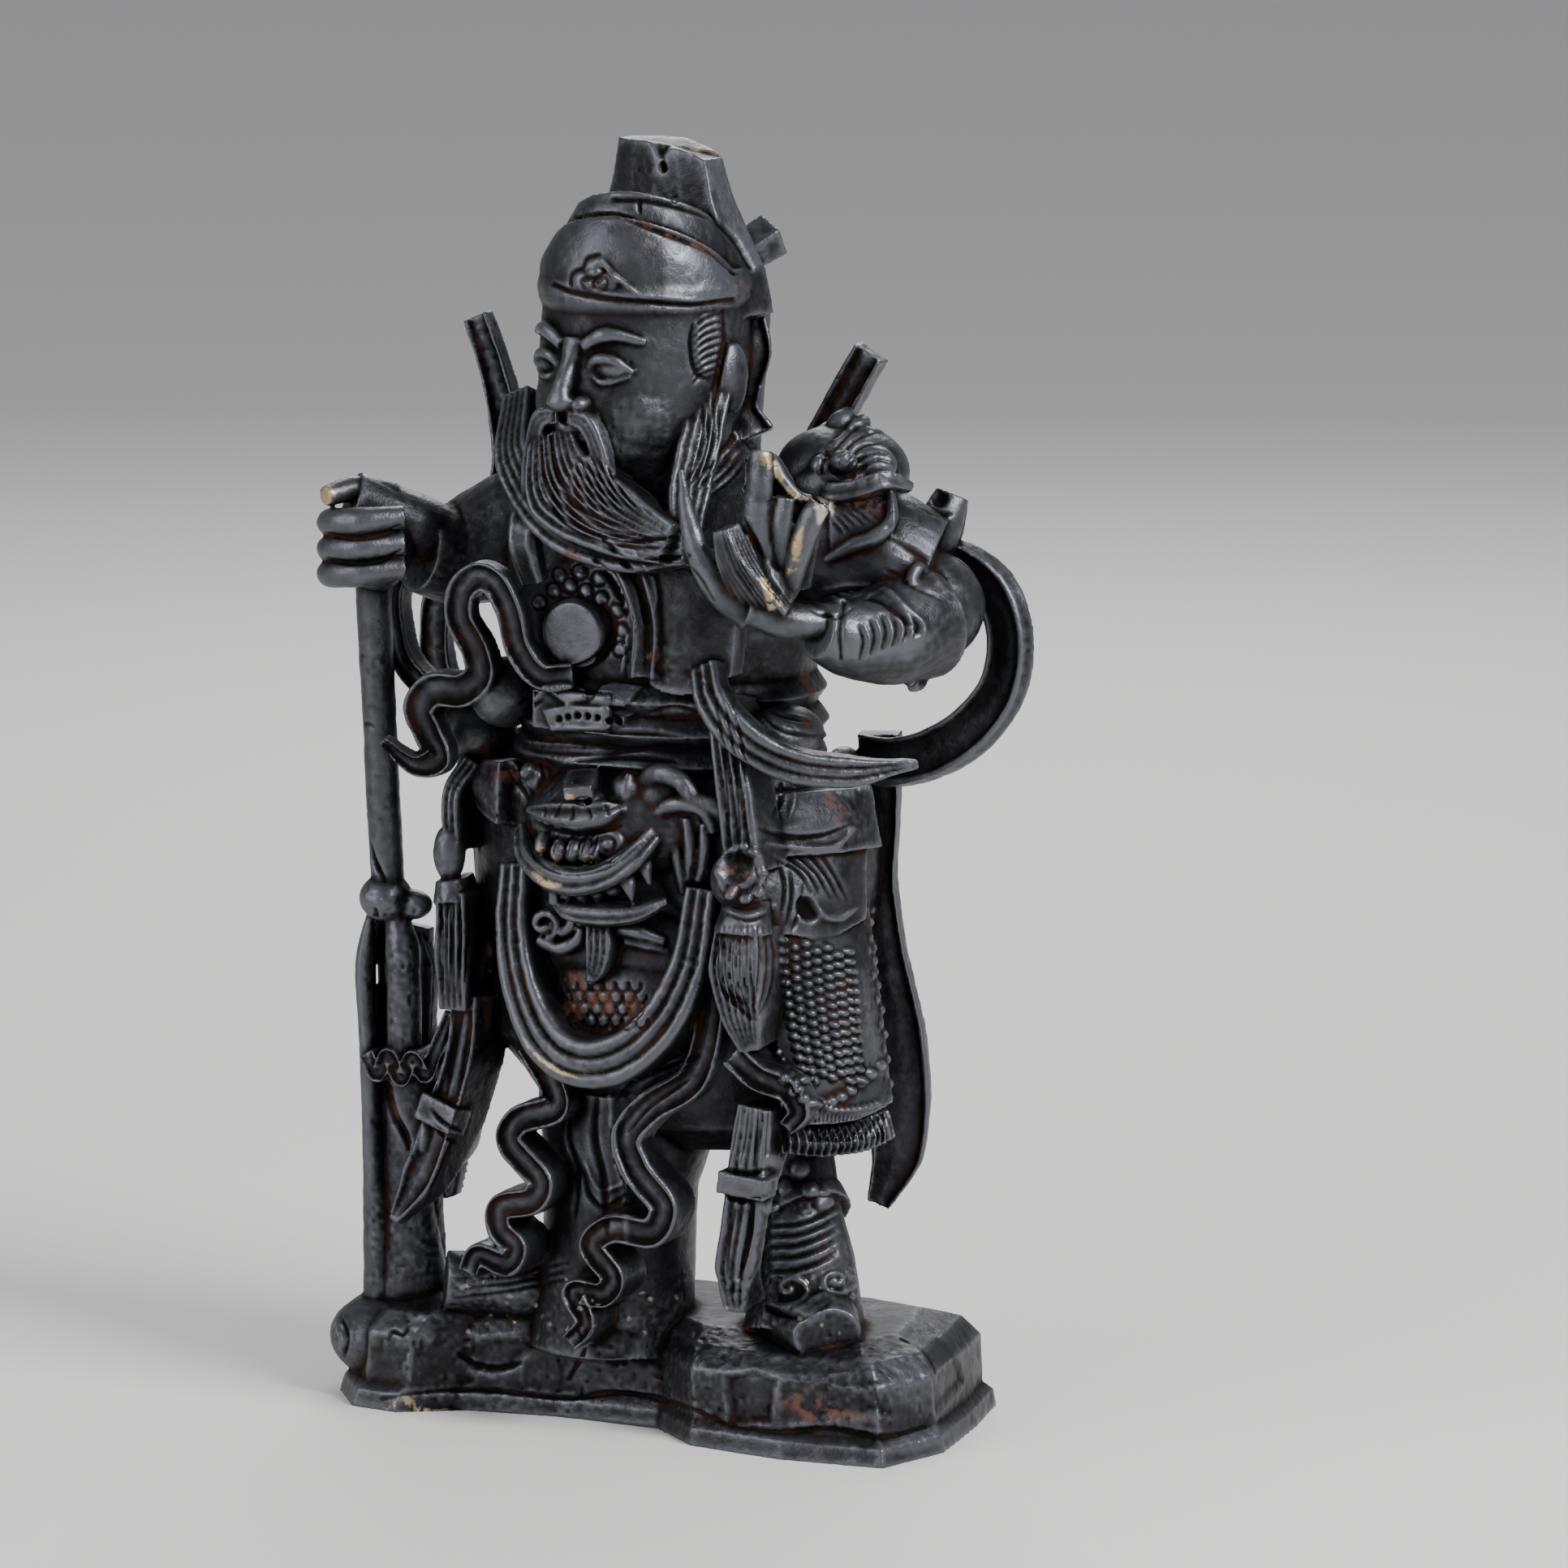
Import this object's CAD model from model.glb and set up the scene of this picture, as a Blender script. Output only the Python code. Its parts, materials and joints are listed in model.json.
"""Bronze warrior on a rock plinth: the fine skin, the bronze and the studio around the CAD frame."""
import json

import bmesh
import bpy
import numpy as np
from bpy.props import FloatProperty, FloatVectorProperty, IntProperty, PointerProperty
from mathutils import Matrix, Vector

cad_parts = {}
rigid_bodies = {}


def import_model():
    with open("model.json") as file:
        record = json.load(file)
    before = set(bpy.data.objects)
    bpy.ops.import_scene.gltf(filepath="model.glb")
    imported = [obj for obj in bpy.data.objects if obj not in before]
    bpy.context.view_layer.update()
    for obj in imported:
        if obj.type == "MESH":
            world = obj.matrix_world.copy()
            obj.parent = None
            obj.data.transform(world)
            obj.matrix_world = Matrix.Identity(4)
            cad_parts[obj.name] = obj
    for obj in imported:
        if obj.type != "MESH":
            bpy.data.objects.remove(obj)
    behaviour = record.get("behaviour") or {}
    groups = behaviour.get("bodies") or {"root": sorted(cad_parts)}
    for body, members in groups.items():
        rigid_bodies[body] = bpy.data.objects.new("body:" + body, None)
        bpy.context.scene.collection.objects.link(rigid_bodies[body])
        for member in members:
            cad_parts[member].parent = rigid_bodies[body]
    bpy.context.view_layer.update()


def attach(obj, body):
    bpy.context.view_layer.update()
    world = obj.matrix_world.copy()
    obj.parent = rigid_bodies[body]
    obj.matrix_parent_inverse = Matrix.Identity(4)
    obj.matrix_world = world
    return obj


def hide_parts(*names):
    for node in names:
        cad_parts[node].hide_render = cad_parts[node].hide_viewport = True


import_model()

bl_info = {
    "name": "Bronze warrior",
    "version": (1, 0, 0),
    "blender": (4, 5, 0),
    "location": "View3D > Sidebar > Warrior",
    "description": "Builds a small cast-bronze warrior on its rock plinth, with its patina and a studio",
    "category": "Object",
}

# The forms are worked in millimetres with the origin under the middle of the plinth. This moves
# them to the frame of the solid, whose origin is the middle of its bounding box.
ORIGIN = np.array([-0.1925, -6.65, 0.0])
MM = 0.001
WAX = "wax"
NODE = "warrior_figure"


# The line of sight of the photograph: it looks 25 degrees from the figure's left and 10 degrees
# down, from 1.4 m, at 7.2 picture points to the millimetre where it is aimed.
PICTURE = 1932
NEARNESS = 1400.0
POINTS_PER_MM = 7.2
FOCUS = NEARNESS * POINTS_PER_MM
TURN, FALL = np.radians(25), np.radians(10)
AHEAD = np.array([-np.sin(TURN) * np.cos(FALL), np.cos(TURN) * np.cos(FALL), -np.sin(FALL)])
RIGHT = np.array([np.cos(TURN), np.sin(TURN), 0.0])
UP = np.cross(RIGHT, AHEAD)
AIM = np.array([16.0, 7.5, 109.0])
EYE = AIM - NEARNESS * AHEAD


def seen(x, y, depth):
    """Point in millimetres that the picture shows at (x, y), on the plane across the figure whose
    own y is the depth: the eye plus the line of sight times the share that reaches the plane."""
    sight = AHEAD * FOCUS + RIGHT * (x - PICTURE / 2) + UP * (PICTURE / 2 - y)
    return EYE + sight * (depth - EYE[1]) / sight[1]


def trail(*places):
    """Path through places seen in the picture, each with its depth."""
    return [seen(*place) for place in places]


def curve(points, t):
    """Centripetal Catmull-Rom curve: a cubic between each pair of points, whose end slopes weigh
    the neighbouring gaps by their square roots. t runs evenly over the points from 0 to 1."""
    p = np.asarray(points, float)
    p = np.vstack([2 * p[0] - p[1], p, 2 * p[-1] - p[-2]])
    last = len(points) - 1
    at = np.clip(t, 0, 1) * last
    i = np.minimum(at.astype(int), last - 1)
    f = (at - i)[:, None]
    a, b, c, d = p[i], p[i + 1], p[i + 2], p[i + 3]
    ab, bc, cd = (np.linalg.norm(r - q, axis=1, keepdims=True) ** 0.5 for q, r in ((a, b), (b, c), (c, d)))
    leave = bc * ((b - a) / ab - (c - a) / (ab + bc) + (c - b) / bc)
    reach = bc * ((c - b) / bc - (d - b) / (bc + cd) + (d - c) / cd)
    return (
        b
        + leave * f
        + (3 * (c - b) - 2 * leave - reach) * f**2
        + (2 * (b - c) + leave + reach) * f**3
    )


def along(values, t):
    """Numbers spread evenly over t from 0 to 1, joined by straight lines."""
    return np.interp(t, np.linspace(0, 1, len(values)), values)


def unit(v):
    """Vectors divided by their lengths."""
    return v / np.maximum(np.linalg.norm(v, axis=-1, keepdims=True), 1e-9)


def tube_faces(rows, sides):
    """Quads between rows of points round a tube, each row closed on itself."""
    k = np.arange(sides)
    first = np.arange(rows - 1)[:, None] * sides
    a, b = first + k, first + (k + 1) % sides
    return np.stack([a, b, b + sides, a + sides], axis=-1).reshape(-1, 4)


def tube(rows):
    """Closed skin through rows of points (row, side, 3), each end closed by a fan to its middle."""
    count, sides = rows.shape[:2]
    points = np.vstack([rows.reshape(-1, 3), rows[0].mean(0), rows[-1].mean(0)])
    k = np.arange(sides)
    n = (k + 1) % sides
    low = np.stack([n, k, np.full(sides, count * sides)], axis=-1)
    top = (count - 1) * sides
    high = np.stack([top + k, top + n, np.full(sides, count * sides + 1)], axis=-1)
    return points, tube_faces(count, sides), np.vstack([low, high])


def circle(sides=28):
    """Round section: cosine across and sine outwards."""
    a = 2 * np.pi * (np.arange(sides) + 0.5) / sides
    return np.stack([np.cos(a), np.sin(a)], axis=-1)


def band(front, samples=49):
    """Section of a strap: front(u) gives the height of its face for u from -1 to 1, its back is flat."""
    u = np.linspace(-1, 1, samples)
    face = np.stack([u, front(u)], axis=-1)
    v = np.linspace(1, -1, samples // 2)
    return np.vstack([face, np.stack([v, -np.ones_like(v)], axis=-1)])


def beads(count, groove=0.5):
    """Front of side-by-side half-round strands: each rises as the root of 1 less its own offset squared."""
    def front(u):
        q = ((u + 1) / 2 * count * 0.9999) % 1 * 2 - 1
        return 1 - groove + groove * np.sqrt(1 - q**2)
    return front


def rims(width=0.3, groove=0.5, waves=1):
    """Front of a ribbon with a rounded rim along each edge and shallow ridges between the rims."""
    def front(u):
        edge = np.clip((1 - np.abs(u)) / width, 0, 1)
        rim = np.sin(np.pi * np.clip(edge * 0.5 + 0.25, 0, 1))
        valley = 1 - groove + 0.12 * groove * np.cos(2 * np.pi * waves * u)
        fade = np.clip((edge - 0.75) / 0.25, 0, 1)
        return rim * (1 - fade) + valley * fade
    return front


def strip(*heights):
    """Front of a strap from heights listed evenly across it, joined by smooth steps."""
    def front(u):
        at = (u + 1) / 2 * (len(heights) - 1)
        i = np.clip(at.astype(int), 0, len(heights) - 2)
        f = at - i
        h = np.asarray(heights)
        return h[i] + (h[i + 1] - h[i]) * f * f * (3 - 2 * f)
    return front


def sweep(path, across, depth=None, back=None, out=(0, -1, 0), section=None, grain=0.45, relief=None):
    """Carries a section along a curve. Each point is the curve's own point, plus the half width
    times the section's first number along the side, plus the reach times its second number along
    the front; relief(t, u) adds millimetres to the front."""
    depth = across if depth is None else depth
    back = depth if back is None else back
    section = circle() if section is None else section
    rough = curve(path, np.linspace(0, 1, 60))
    steps = max(int(np.linalg.norm(np.diff(rough, axis=0), axis=1).sum() / grain), 4)
    t = np.linspace(0, 1, steps + 1)
    middle = curve(path, t)
    tangent = unit(np.gradient(middle, axis=0))
    outs = np.asarray(out, float).reshape(-1, 3)
    front = np.stack([along(outs[:, c], t) for c in range(3)], axis=-1)
    front = unit(front - tangent * (front * tangent).sum(-1, keepdims=True))
    side = np.cross(tangent, front)
    u, w = section[:, 0], section[:, 1]
    reach = np.where(w > 0, along(depth, t)[:, None] * w, along(back, t)[:, None] * w)
    if relief is not None:
        reach = reach + relief(t[:, None], u[None, :]) * (w > 0)
    half = along(across, t)[:, None] * u
    return tube(middle[:, None] + side[:, None] * half[..., None] + front[:, None] * reach[..., None])


def blob(centre, radii, turn=0.0, around=40, relief=None):
    """Ellipsoid: cosines and sines of longitude and latitude times the radii, turned by degrees
    about Z; relief(longitude, height) adds a share of the radius."""
    lat = np.linspace(-np.pi / 2, np.pi / 2, around // 2 + 1)[1:-1, None]
    lon = np.linspace(0, 2 * np.pi, around, endpoint=False)[None, :]
    swell = 1 if relief is None else 1 + relief(lon, np.sin(lat))
    ball = np.stack([np.cos(lat) * np.cos(lon), np.cos(lat) * np.sin(lon), np.sin(lat) + 0 * lon], axis=-1)
    p = ball * (swell if relief is None else swell[..., None]) * np.asarray(radii, float)
    a = np.radians(turn)
    x = p[..., 0] * np.cos(a) - p[..., 1] * np.sin(a)
    y = p[..., 0] * np.sin(a) + p[..., 1] * np.cos(a)
    return tube(np.stack([x, y, p[..., 2]], axis=-1) + np.asarray(centre, float))


def ovals(rows, around=96, grain=0.6, relief=None):
    """Tube of level ovals listed as height, middle and radii; the radii run along smooth curves
    through the rows, and relief(angle, height) adds millimetres to them."""
    rows = np.asarray(rows, float)
    steps = max(int((rows[-1, 0] - rows[0, 0]) / grain), 6)
    t = np.linspace(0, 1, steps + 1)
    z, x, y, rx, ry = (along(rows[:, c], t)[:, None] for c in range(5))
    a = np.linspace(0, 2 * np.pi, around, endpoint=False)[None, :]
    more = 0 if relief is None else relief(a, z)
    return tube(np.stack([x + (rx + more) * np.cos(a), y + (ry + more) * np.sin(a), z + 0 * a], axis=-1))


def plate(at, back, columns, rows):
    """Slab whose front is at(u, v) for u and v from 0 to 1 and whose back is that moved by a vector."""
    u, v = np.meshgrid(np.linspace(0, 1, columns + 1), np.linspace(0, 1, rows + 1))
    front = at(u, v)
    wrap = [front, front[:, ::-1] + np.asarray(back, float)]
    return tube(np.concatenate(wrap, axis=1))


def sheet(corners, bulge, drop=0.0, relief=None):
    """Four-cornered surface: a blend of the corners, arched by 1 less the square of twice u less 1
    along the bulge, with its lower edge dropped; relief(u, v) moves it along the bulge in mm."""
    top_left, top_right, low_left, low_right = (np.asarray(c, float) for c in corners)
    bulge = np.asarray(bulge, float)
    out = bulge / max(np.linalg.norm(bulge), 1e-6)

    def at(u, v):
        u, v = u[..., None], v[..., None]
        top = top_left + (top_right - top_left) * u
        low = low_left + (low_right - low_left) * u
        p = top + (low - top) * v
        arch = 1 - (2 * u - 1) ** 2
        p = p + bulge * arch * (0.35 + 0.65 * np.sin(np.pi * np.minimum(v, 0.85)))
        p = p - np.array([0, 0, drop]) * arch * v
        if relief is not None:
            p = p + out * relief(u, v)
        return p
    return at


def mirrored(make):
    """The form made for the figure's right and for its left."""
    return [make(-1), make(1)]


def turned(forms, degrees, at):
    """Forms turned about Z by degrees, towards the figure's right, and moved to a place."""
    a = np.radians(degrees)
    spin = np.array([[np.cos(a), -np.sin(a), 0], [np.sin(a), np.cos(a), 0], [0, 0, 1]])
    return [(points @ spin + np.asarray(at, float), quads, fans) for points, quads, fans in forms]


def melt(name, forms):
    """Puts closed forms together in one mesh object, in millimetres, ready to be cast."""
    points = np.vstack([f[0] for f in forms])
    starts = np.cumsum([0] + [len(f[0]) for f in forms[:-1]])
    quads = np.vstack([f[1] + s for f, s in zip(forms, starts)])
    fans = np.vstack([f[2] + s for f, s in zip(forms, starts)])
    mesh = bpy.data.meshes.new(name)
    mesh.vertices.add(len(points))
    mesh.vertices.foreach_set("co", points.astype(np.float32).ravel())
    corners = np.concatenate([quads.ravel(), fans.ravel()]).astype(np.int32)
    mesh.loops.add(len(corners))
    mesh.loops.foreach_set("vertex_index", corners)
    sizes = np.concatenate([np.full(len(quads), 4), np.full(len(fans), 3)])
    mesh.polygons.add(len(sizes))
    mesh.polygons.foreach_set("loop_start", (np.cumsum(sizes) - sizes).astype(np.int32))
    mesh.update(calc_edges=True)
    piece = bpy.data.objects.new(name, mesh)
    bpy.context.collection.objects.link(piece)
    return piece


PLINTH_PLAN = np.array([
    [-58, -17], [-51, -26], [-42, -27], [-34, -21], [-16, -18], [4, -18], [14, -26], [32, -28],
    [50, -26], [55, -12], [53, 6], [50, 22], [36, 26], [10, 25], [-18, 26], [-44, 24], [-59, 14],
    [-61, -2],
], float)
PLINTH_HALF = np.array([58.0, 27.0])


def plinth_ring(height, inset, samples=8):
    """The plinth's plan drawn in by an inset, with points spread along its sides."""
    plan = PLINTH_PLAN * (1 - inset / PLINTH_HALF)
    share = np.arange(samples)[None, :, None] / samples
    ring = (plan[:, None] + (np.roll(plan, -1, axis=0) - plan)[:, None] * share).reshape(-1, 2)
    return np.column_stack([ring, np.full(len(ring), height)])


def plinth_skin(rows):
    """Tube through plinth rings listed as height and inset, with rows every half millimetre."""
    rows = np.asarray(rows, float)
    reach = np.abs(np.diff(rows, axis=0)).sum()
    t = np.linspace(0, 1, int(reach / 0.5) + 2)
    return tube(np.stack([plinth_ring(h, i) for h, i in zip(along(rows[:, 0], t), along(rows[:, 1], t))]))


def rock(tall, wall):
    """The plinth: flange, faceted sides, shoulder and top outside; then down the hollow inside."""
    outside = [(0, 0), (3, 0.6), (4.5, 2.2), (tall - 5, 2.6), (tall - 1.5, 5.5), (tall + 0.5, 12)]
    inside = [(-1, wall - 1), (4, wall), (tall - 7, wall + 3), (tall - 5, wall + 9)]
    return plinth_skin(outside), plinth_skin(inside)


def body_forms():
    robe = ovals([
        [48.5, 3, -1, 19, 13], [53, 1, -1, 24.5, 18], [59, -0.5, -1, 27.5, 19.5],
        [66, -3.4, -1, 32, 20.5], [98, -4, -1, 34, 21.5], [109, -4, -1, 34, 22],
        [114.5, -2, -2, 27.5, 21.6], [116, -1, -2, 27.6, 23.6], [119, -1, -2, 26, 21.6],
        [121.5, -1, -2, 28, 24], [124.5, -1, -2, 26, 21.8], [127, -1, -2, 27.6, 23.4],
        [130, -1, -2, 25.8, 20.6], [138, -1, -3, 27.5, 20], [148, -1, -2.5, 29.5, 18.5],
        [155, -1, -1, 30, 16], [161, -1, 0, 24, 13], [166, -2, 0, 15, 11], [172, -2.5, -3, 11, 10],
    ])
    robed_leg = ovals(
        [[12, -9, -9, 15, 13], [22, -8, -9, 13.4, 13], [40, -7, -9, 13, 14], [58, -6, -6, 17, 15]])
    bare_leg = sweep(
        [[20, 2, 58], [22, 0, 46], [23.5, -3, 37], [26, -6, 28], [27, -8, 18]], [7, 6.3, 7.5, 9, 10.5])
    left_boot = sweep([[19, 2, 20], [27, -8, 20.5], [36, -18, 20]], [6, 9.5, 6], [4, 8, 4.5], out=(0, 0, 1))
    right_boot = sweep(
        [[-14, -6, 20], [-26, -13, 21.5], [-36, -19, 22.5]], [7, 7.5, 4.5], [6, 5.5, 5], out=(0, 0, 1))
    boot_top = sweep([[22.5, -1.5, 38], [24.5, -3, 35.5]], [8.5, 8.8])
    return [robe, robed_leg, bare_leg, left_boot, right_boot, boot_top]


HEAD_AT = (-2.8, -8, 0)
HEAD_YAW = 15


def head_forms():
    skull = ovals([
        [160, 0, 1, 11, 11], [165, 0, -2, 12, 14], [169, 0, -2, 14.5, 16.5], [175, 0, -1, 16.4, 18.2],
        [183, 0, 0, 17.2, 18.8], [190, 0, 0.5, 17.2, 18.4], [197, 0, 1, 17, 18],
    ])
    bridge = sweep(
        [[0, -17.6, 188], [0, -19, 184], [0, -21, 180], [0, -21.8, 178]], [2.2, 1.5, 1.7, 2.2], [1.6, 1.6,
            1.7, 1.8])
    tip = blob([0, -21.4, 177.9], [2.3, 2.2, 1.8])
    wings = mirrored(lambda s: blob([s * 2.7, -19.2, 177.3], [1.6, 2.2, 1.5]))
    eyes = mirrored(lambda s: blob([s * 6.6, -15.6, 183.4], [3.7, 2.6, 2.1]))
    upper_lids = mirrored(lambda s: sweep(
        [[s * 2.9, -17.8, 182.7], [s * 5, -18.2, 184.9], [s * 7.8, -17.4, 185], [s * 11, -15.2, 182.9]],
        [0.5, 0.9, 0.9, 0.5]))
    lower_lids = mirrored(lambda s: sweep(
        [[s * 3.2, -17.8, 182.4], [s * 6.4, -17.9, 181.2], [s * 10.4, -15.3, 182.4]], [0.4, 0.6, 0.4]))
    brows = mirrored(lambda s: sweep(
        [[s * 2.4, -18.4, 187], [s * 6.6, -17.6, 189.2], [s * 12.2, -13.6, 188]], [1, 1.3, 0.6], [0.8, 1.1,
            0.5]))
    cheeks = mirrored(lambda s: blob([s * 5, -4.6, 176], [10.4, 13, 12]))
    ears = mirrored(lambda s: blob([s * 17.4, 2.5, 181], [1.8, 3.4, 6]))
    upper_lip = sweep(
        [[-4.4, -17.6, 172.6], [-1.6, -19.5, 173.5], [0, -19.6, 173.1], [1.6, -19.5, 173.5],
            [4.4, -17.6, 172.6]],
        [0.6, 0.9, 0.8, 0.9, 0.6])
    lower_lip = sweep([[-3.6, -18, 171.9], [0, -19.5, 170.8], [3.6, -18, 171.9]], [0.6, 1.1, 0.6])
    moustaches = mirrored(lambda s: sweep(
        [[s * 1.2, -20.4, 175.2], [s * 5, -20, 174.4], [s * 7.4, -19.4, 169.6], [s * 8.6, -19.4, 163.6],
         [s * 9.6, -18.6, 157]],
        [1.1, 1.7, 1.7, 1.4, 0.5], [1, 1.4, 1.3, 1.1, 0.5], section=band(beads(3, 0.3))))
    chin = blob([0, -16.6, 166.6], [4.6, 3.4, 3.4])
    face = [skull, bridge, tip, *wings, *eyes, *upper_lids, *lower_lids, *brows, *cheeks, *ears]
    return turned([*face, upper_lip, lower_lip, *moustaches, chin], HEAD_YAW, HEAD_AT)


def beard_forms():
    chin = sweep(
        [[-11, -23, 171], [-7, -26, 163], [3, -28, 158], [13, -30, 155]],
        [4.5, 7.5, 6, 3.5], [4, 5, 4, 2], out=(-0.2, -1, 0.3), section=band(beads(9, 0.22), 121))
    fringe = sweep(
        [[-23, -12, 176], [-20, -19, 166], [-10, -24, 157], [4, -27, 153.5], [15, -28, 154]],
        [3, 4, 4.5, 4, 2.5], [3, 3.5, 3.5, 3, 2], out=(-0.3, -1, 0.2), section=band(beads(5, 0.25), 97))
    lock = sweep(
        [[12.5, -9, 184], [11.5, -16, 172], [12, -22, 162], [14, -27, 155]],
        [2.5, 3.6, 3.6, 2.4], [2, 2.5, 2.5, 2], out=(0.5, -0.9, 0), section=band(beads(5, 0.3), 97))
    return [chin, fringe, lock]


def crown(low, high, foot, top, swell):
    """Band of the hat: at each angle a rise from one leaning plane to another, each given as its
    height and its fall per millimetre backwards and to the left; the radii swell by a sine."""
    a = np.linspace(0, 2 * np.pi, 120, endpoint=False)[None, :]
    t = np.linspace(0, 1, 30)[:, None]
    rx, ry = (foot[k] + (top[k] - foot[k]) * t**1.5 + swell * np.sin(np.pi * t) for k in (0, 1))
    x, y = rx * np.cos(a), 1 + ry * np.sin(a)
    under = low[0] - low[1] * y - low[2] * x
    over = np.maximum(high[0] - high[1] * y - high[2] * x, under + 0.6)
    return tube(np.stack([x, y, under + (over - under) * t], axis=-1))


def closed_line(corners, samples=14):
    """Corners of a ring joined by straight runs of points."""
    corners = np.asarray(corners, float)
    share = np.arange(samples)[None, :, None] / samples
    return (corners[:, None] + (np.roll(corners, -1, axis=0) - corners)[:, None] * share).reshape(-1, 2)


def hat_forms():
    dome = crown((195.2, 0.04, 0.07), (199.4, 0.58, -0.2), (17.6, 18.8), (15.6, 16), 0.5)
    foot = ovals([
        [192.2, 0, 0.6, 17, 18.2], [193.6, 0, 0.6, 17.7, 18.8], [195.8, 0, 0.6, 18, 19.1], [197.4, 0, 0.8,
            17.6, 18.8],
        [199, 0, 1, 16.8, 17.4],
    ])
    roll = crown((196, 0, 0), (206.6, 0.475, -0.22), (14.6, 14.6), (12, 12.2), 1.1)
    rows = np.array([[192.6, 16.5, 10], [200, 15.6, 9], [206, 13.4, 7.4], [213, 10.8, 6], [219.6, 9.6, 4.8]])
    edge = closed_line([
        [0, -0.36], [0.5, -0.28], [1, 0], [1, 1], [0.5, 1.3], [0, 1.4], [-0.5, 1.3], [-1, 1], [-1, 0], [-0.5,
            -0.28],
    ])
    t = np.linspace(0, 1, 90)
    z, half, thick = (along(rows[:, c], t)[:, None] for c in range(3))
    u, w = edge[:, 0], edge[:, 1]
    chip = 2.4 * np.exp(-((u - 0.12) / 0.17) ** 2) * (w < 0.9) + 0.7 * np.clip(u - 0.8, 0, 1) / 0.2
    height = z - 2 * np.maximum(0, u) - chip * t[:, None] ** 12
    board = tube(np.stack([half * u, 4.5 + thick * w, height], axis=-1))
    square = closed_line([[-1, 1], [1, 1], [1, -1], [-1, -1]], 6)
    stub = sweep([[5, 10, 198], [10.5, 15.5, 202.5]], [2.6, 3], [2.4, 2.8], out=(0.5, 0, 1), section=square)
    neck_flap = sweep(
        [[11.4, 2, 189], [12.8, 2, 184], [11.8, 2, 178], [11, 1.5, 174], [13.4, 1, 169.6]],
        [3.4, 3, 2, 2.6, 3.6], [1.8, 1.8, 1.6, 1.6, 1.4], out=(0.6, -0.8, 0), section=band(rims()))
    nape = ovals([[160, -2, 8, 13, 4], [172, -2, 9, 13, 5], [190, -1, 8, 14, 6], [197, -1, 6, 13, 7]])
    return turned([dome, foot, roll, board], HEAD_YAW, HEAD_AT) + [stub, neck_flap, nape]


def strap_forms():
    right = sweep(
        [[-41.1, 5, 187], [-38.3, 5, 180], [-35.9, 5, 171.7], [-34.6, 5, 163], [-35.4, 4, 154]],
        [2.4, 2.6, 3, 3], [1.5, 1.6, 2, 2.5], section=band(rims(0.35)))
    left = sweep([[31.6, 9, 184], [23.5, 9, 170.3], [16, 5, 154]], [2.9, 2.9, 3], [2, 2, 2.4],
        section=band(rims(0.35)))
    return [right, left]


def right_arm_forms():
    sleeve = sweep(
        [[-22, 3, 155], [-32, -1, 150], [-39.5, -7, 147.6], [-43.6, -13, 149]], [11, 11, 9, 7.5], [10, 10,
            8.6, 7.5])
    back_of_hand = sweep(
        [[-52, -21.5, 157.4], [-45, -15, 153.6], [-40.6, -5, 148.6]], [4.4, 6.4, 7], [5.4, 5.6, 5.4], out=(0,
            0, 1))
    palm = blob([-48, -19.6, 150.6], [6.6, 6, 8.4])
    fingers = [
        sweep([[-55, -19.6, z - 1.2], [-54, -25, z - 0.8], [-47.6, -27, z], [-40.8, -23, z + 0.7]],
              [2, 2.4, 2.5, 1.9], out=(0, 0, 1))
        for z in (155, 150.5, 146.2)
    ]
    thumb = sweep([[-46, -17, 158], [-51, -21.5, 159.6], [-54, -27, 159]], [2.8, 2.3, 1.7])
    return [sleeve, back_of_hand, palm, *fingers, thumb]


def staff_forms():
    shaft = sweep([[-49.8, -18, 145], [-49.3, -16.6, 118], [-48.8, -15, 88]], [3, 3, 2.9])
    knob = blob([-49, -15.5, 88], [4.6, 4.6, 4.2])
    lump = blob([-44.4, -14.4, 87], [3.6, 2.6, 2.6])
    left_rib = sweep(
        [[-51.4, -14, 87], [-53.8, -14, 76.7], [-53, -14, 60], [-52.6, -13, 38], [-51.4, -12, 14]],
        [1.1, 1.6, 1.8, 2.2, 4], [2, 2.4, 2.6, 3, 4])
    sheath = sweep([[-47, -15.5, 85], [-45.5, -16, 79], [-45.4, -16, 58]], [2, 3, 3.1])
    backing = plate(
        sheet([[-53, -11.5, 84], [-43.4, -10.5, 82], [-53, -11, 15], [-42, -9, 15]], [0, -1, 0]), [0, 2.4,
            0], 20, 120)
    shard = plate(
        sheet([[-44.4, -11.6, 82], [-41.8, -11.6, 76], [-45, -11.6, 58], [-42.6, -11.6, 62]], [0, -0.01, 0]),
        [0, 2.4, 0], 8, 40)
    frill = sweep(
        [[-51.4, -18, 61], [-49, -18.4, 57.6], [-46.8, -18.6, 61], [-44.3, -18.6, 57.2], [-42.1, -18.4, 61],
         [-39.8, -18.2, 58.2], [-38.1, -17.6, 62], [-35, -17, 69]],
        [1.5], [1.4], [5], section=band(rims()))
    post = sweep([[-48.6, -11, 60], [-48, -11, 36], [-47, -10.5, 14]], [5.5, 5, 7.5], [3, 3.2, 6])
    return [shaft, knob, lump, left_rib, sheath, backing, shard, frill, post]


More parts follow.
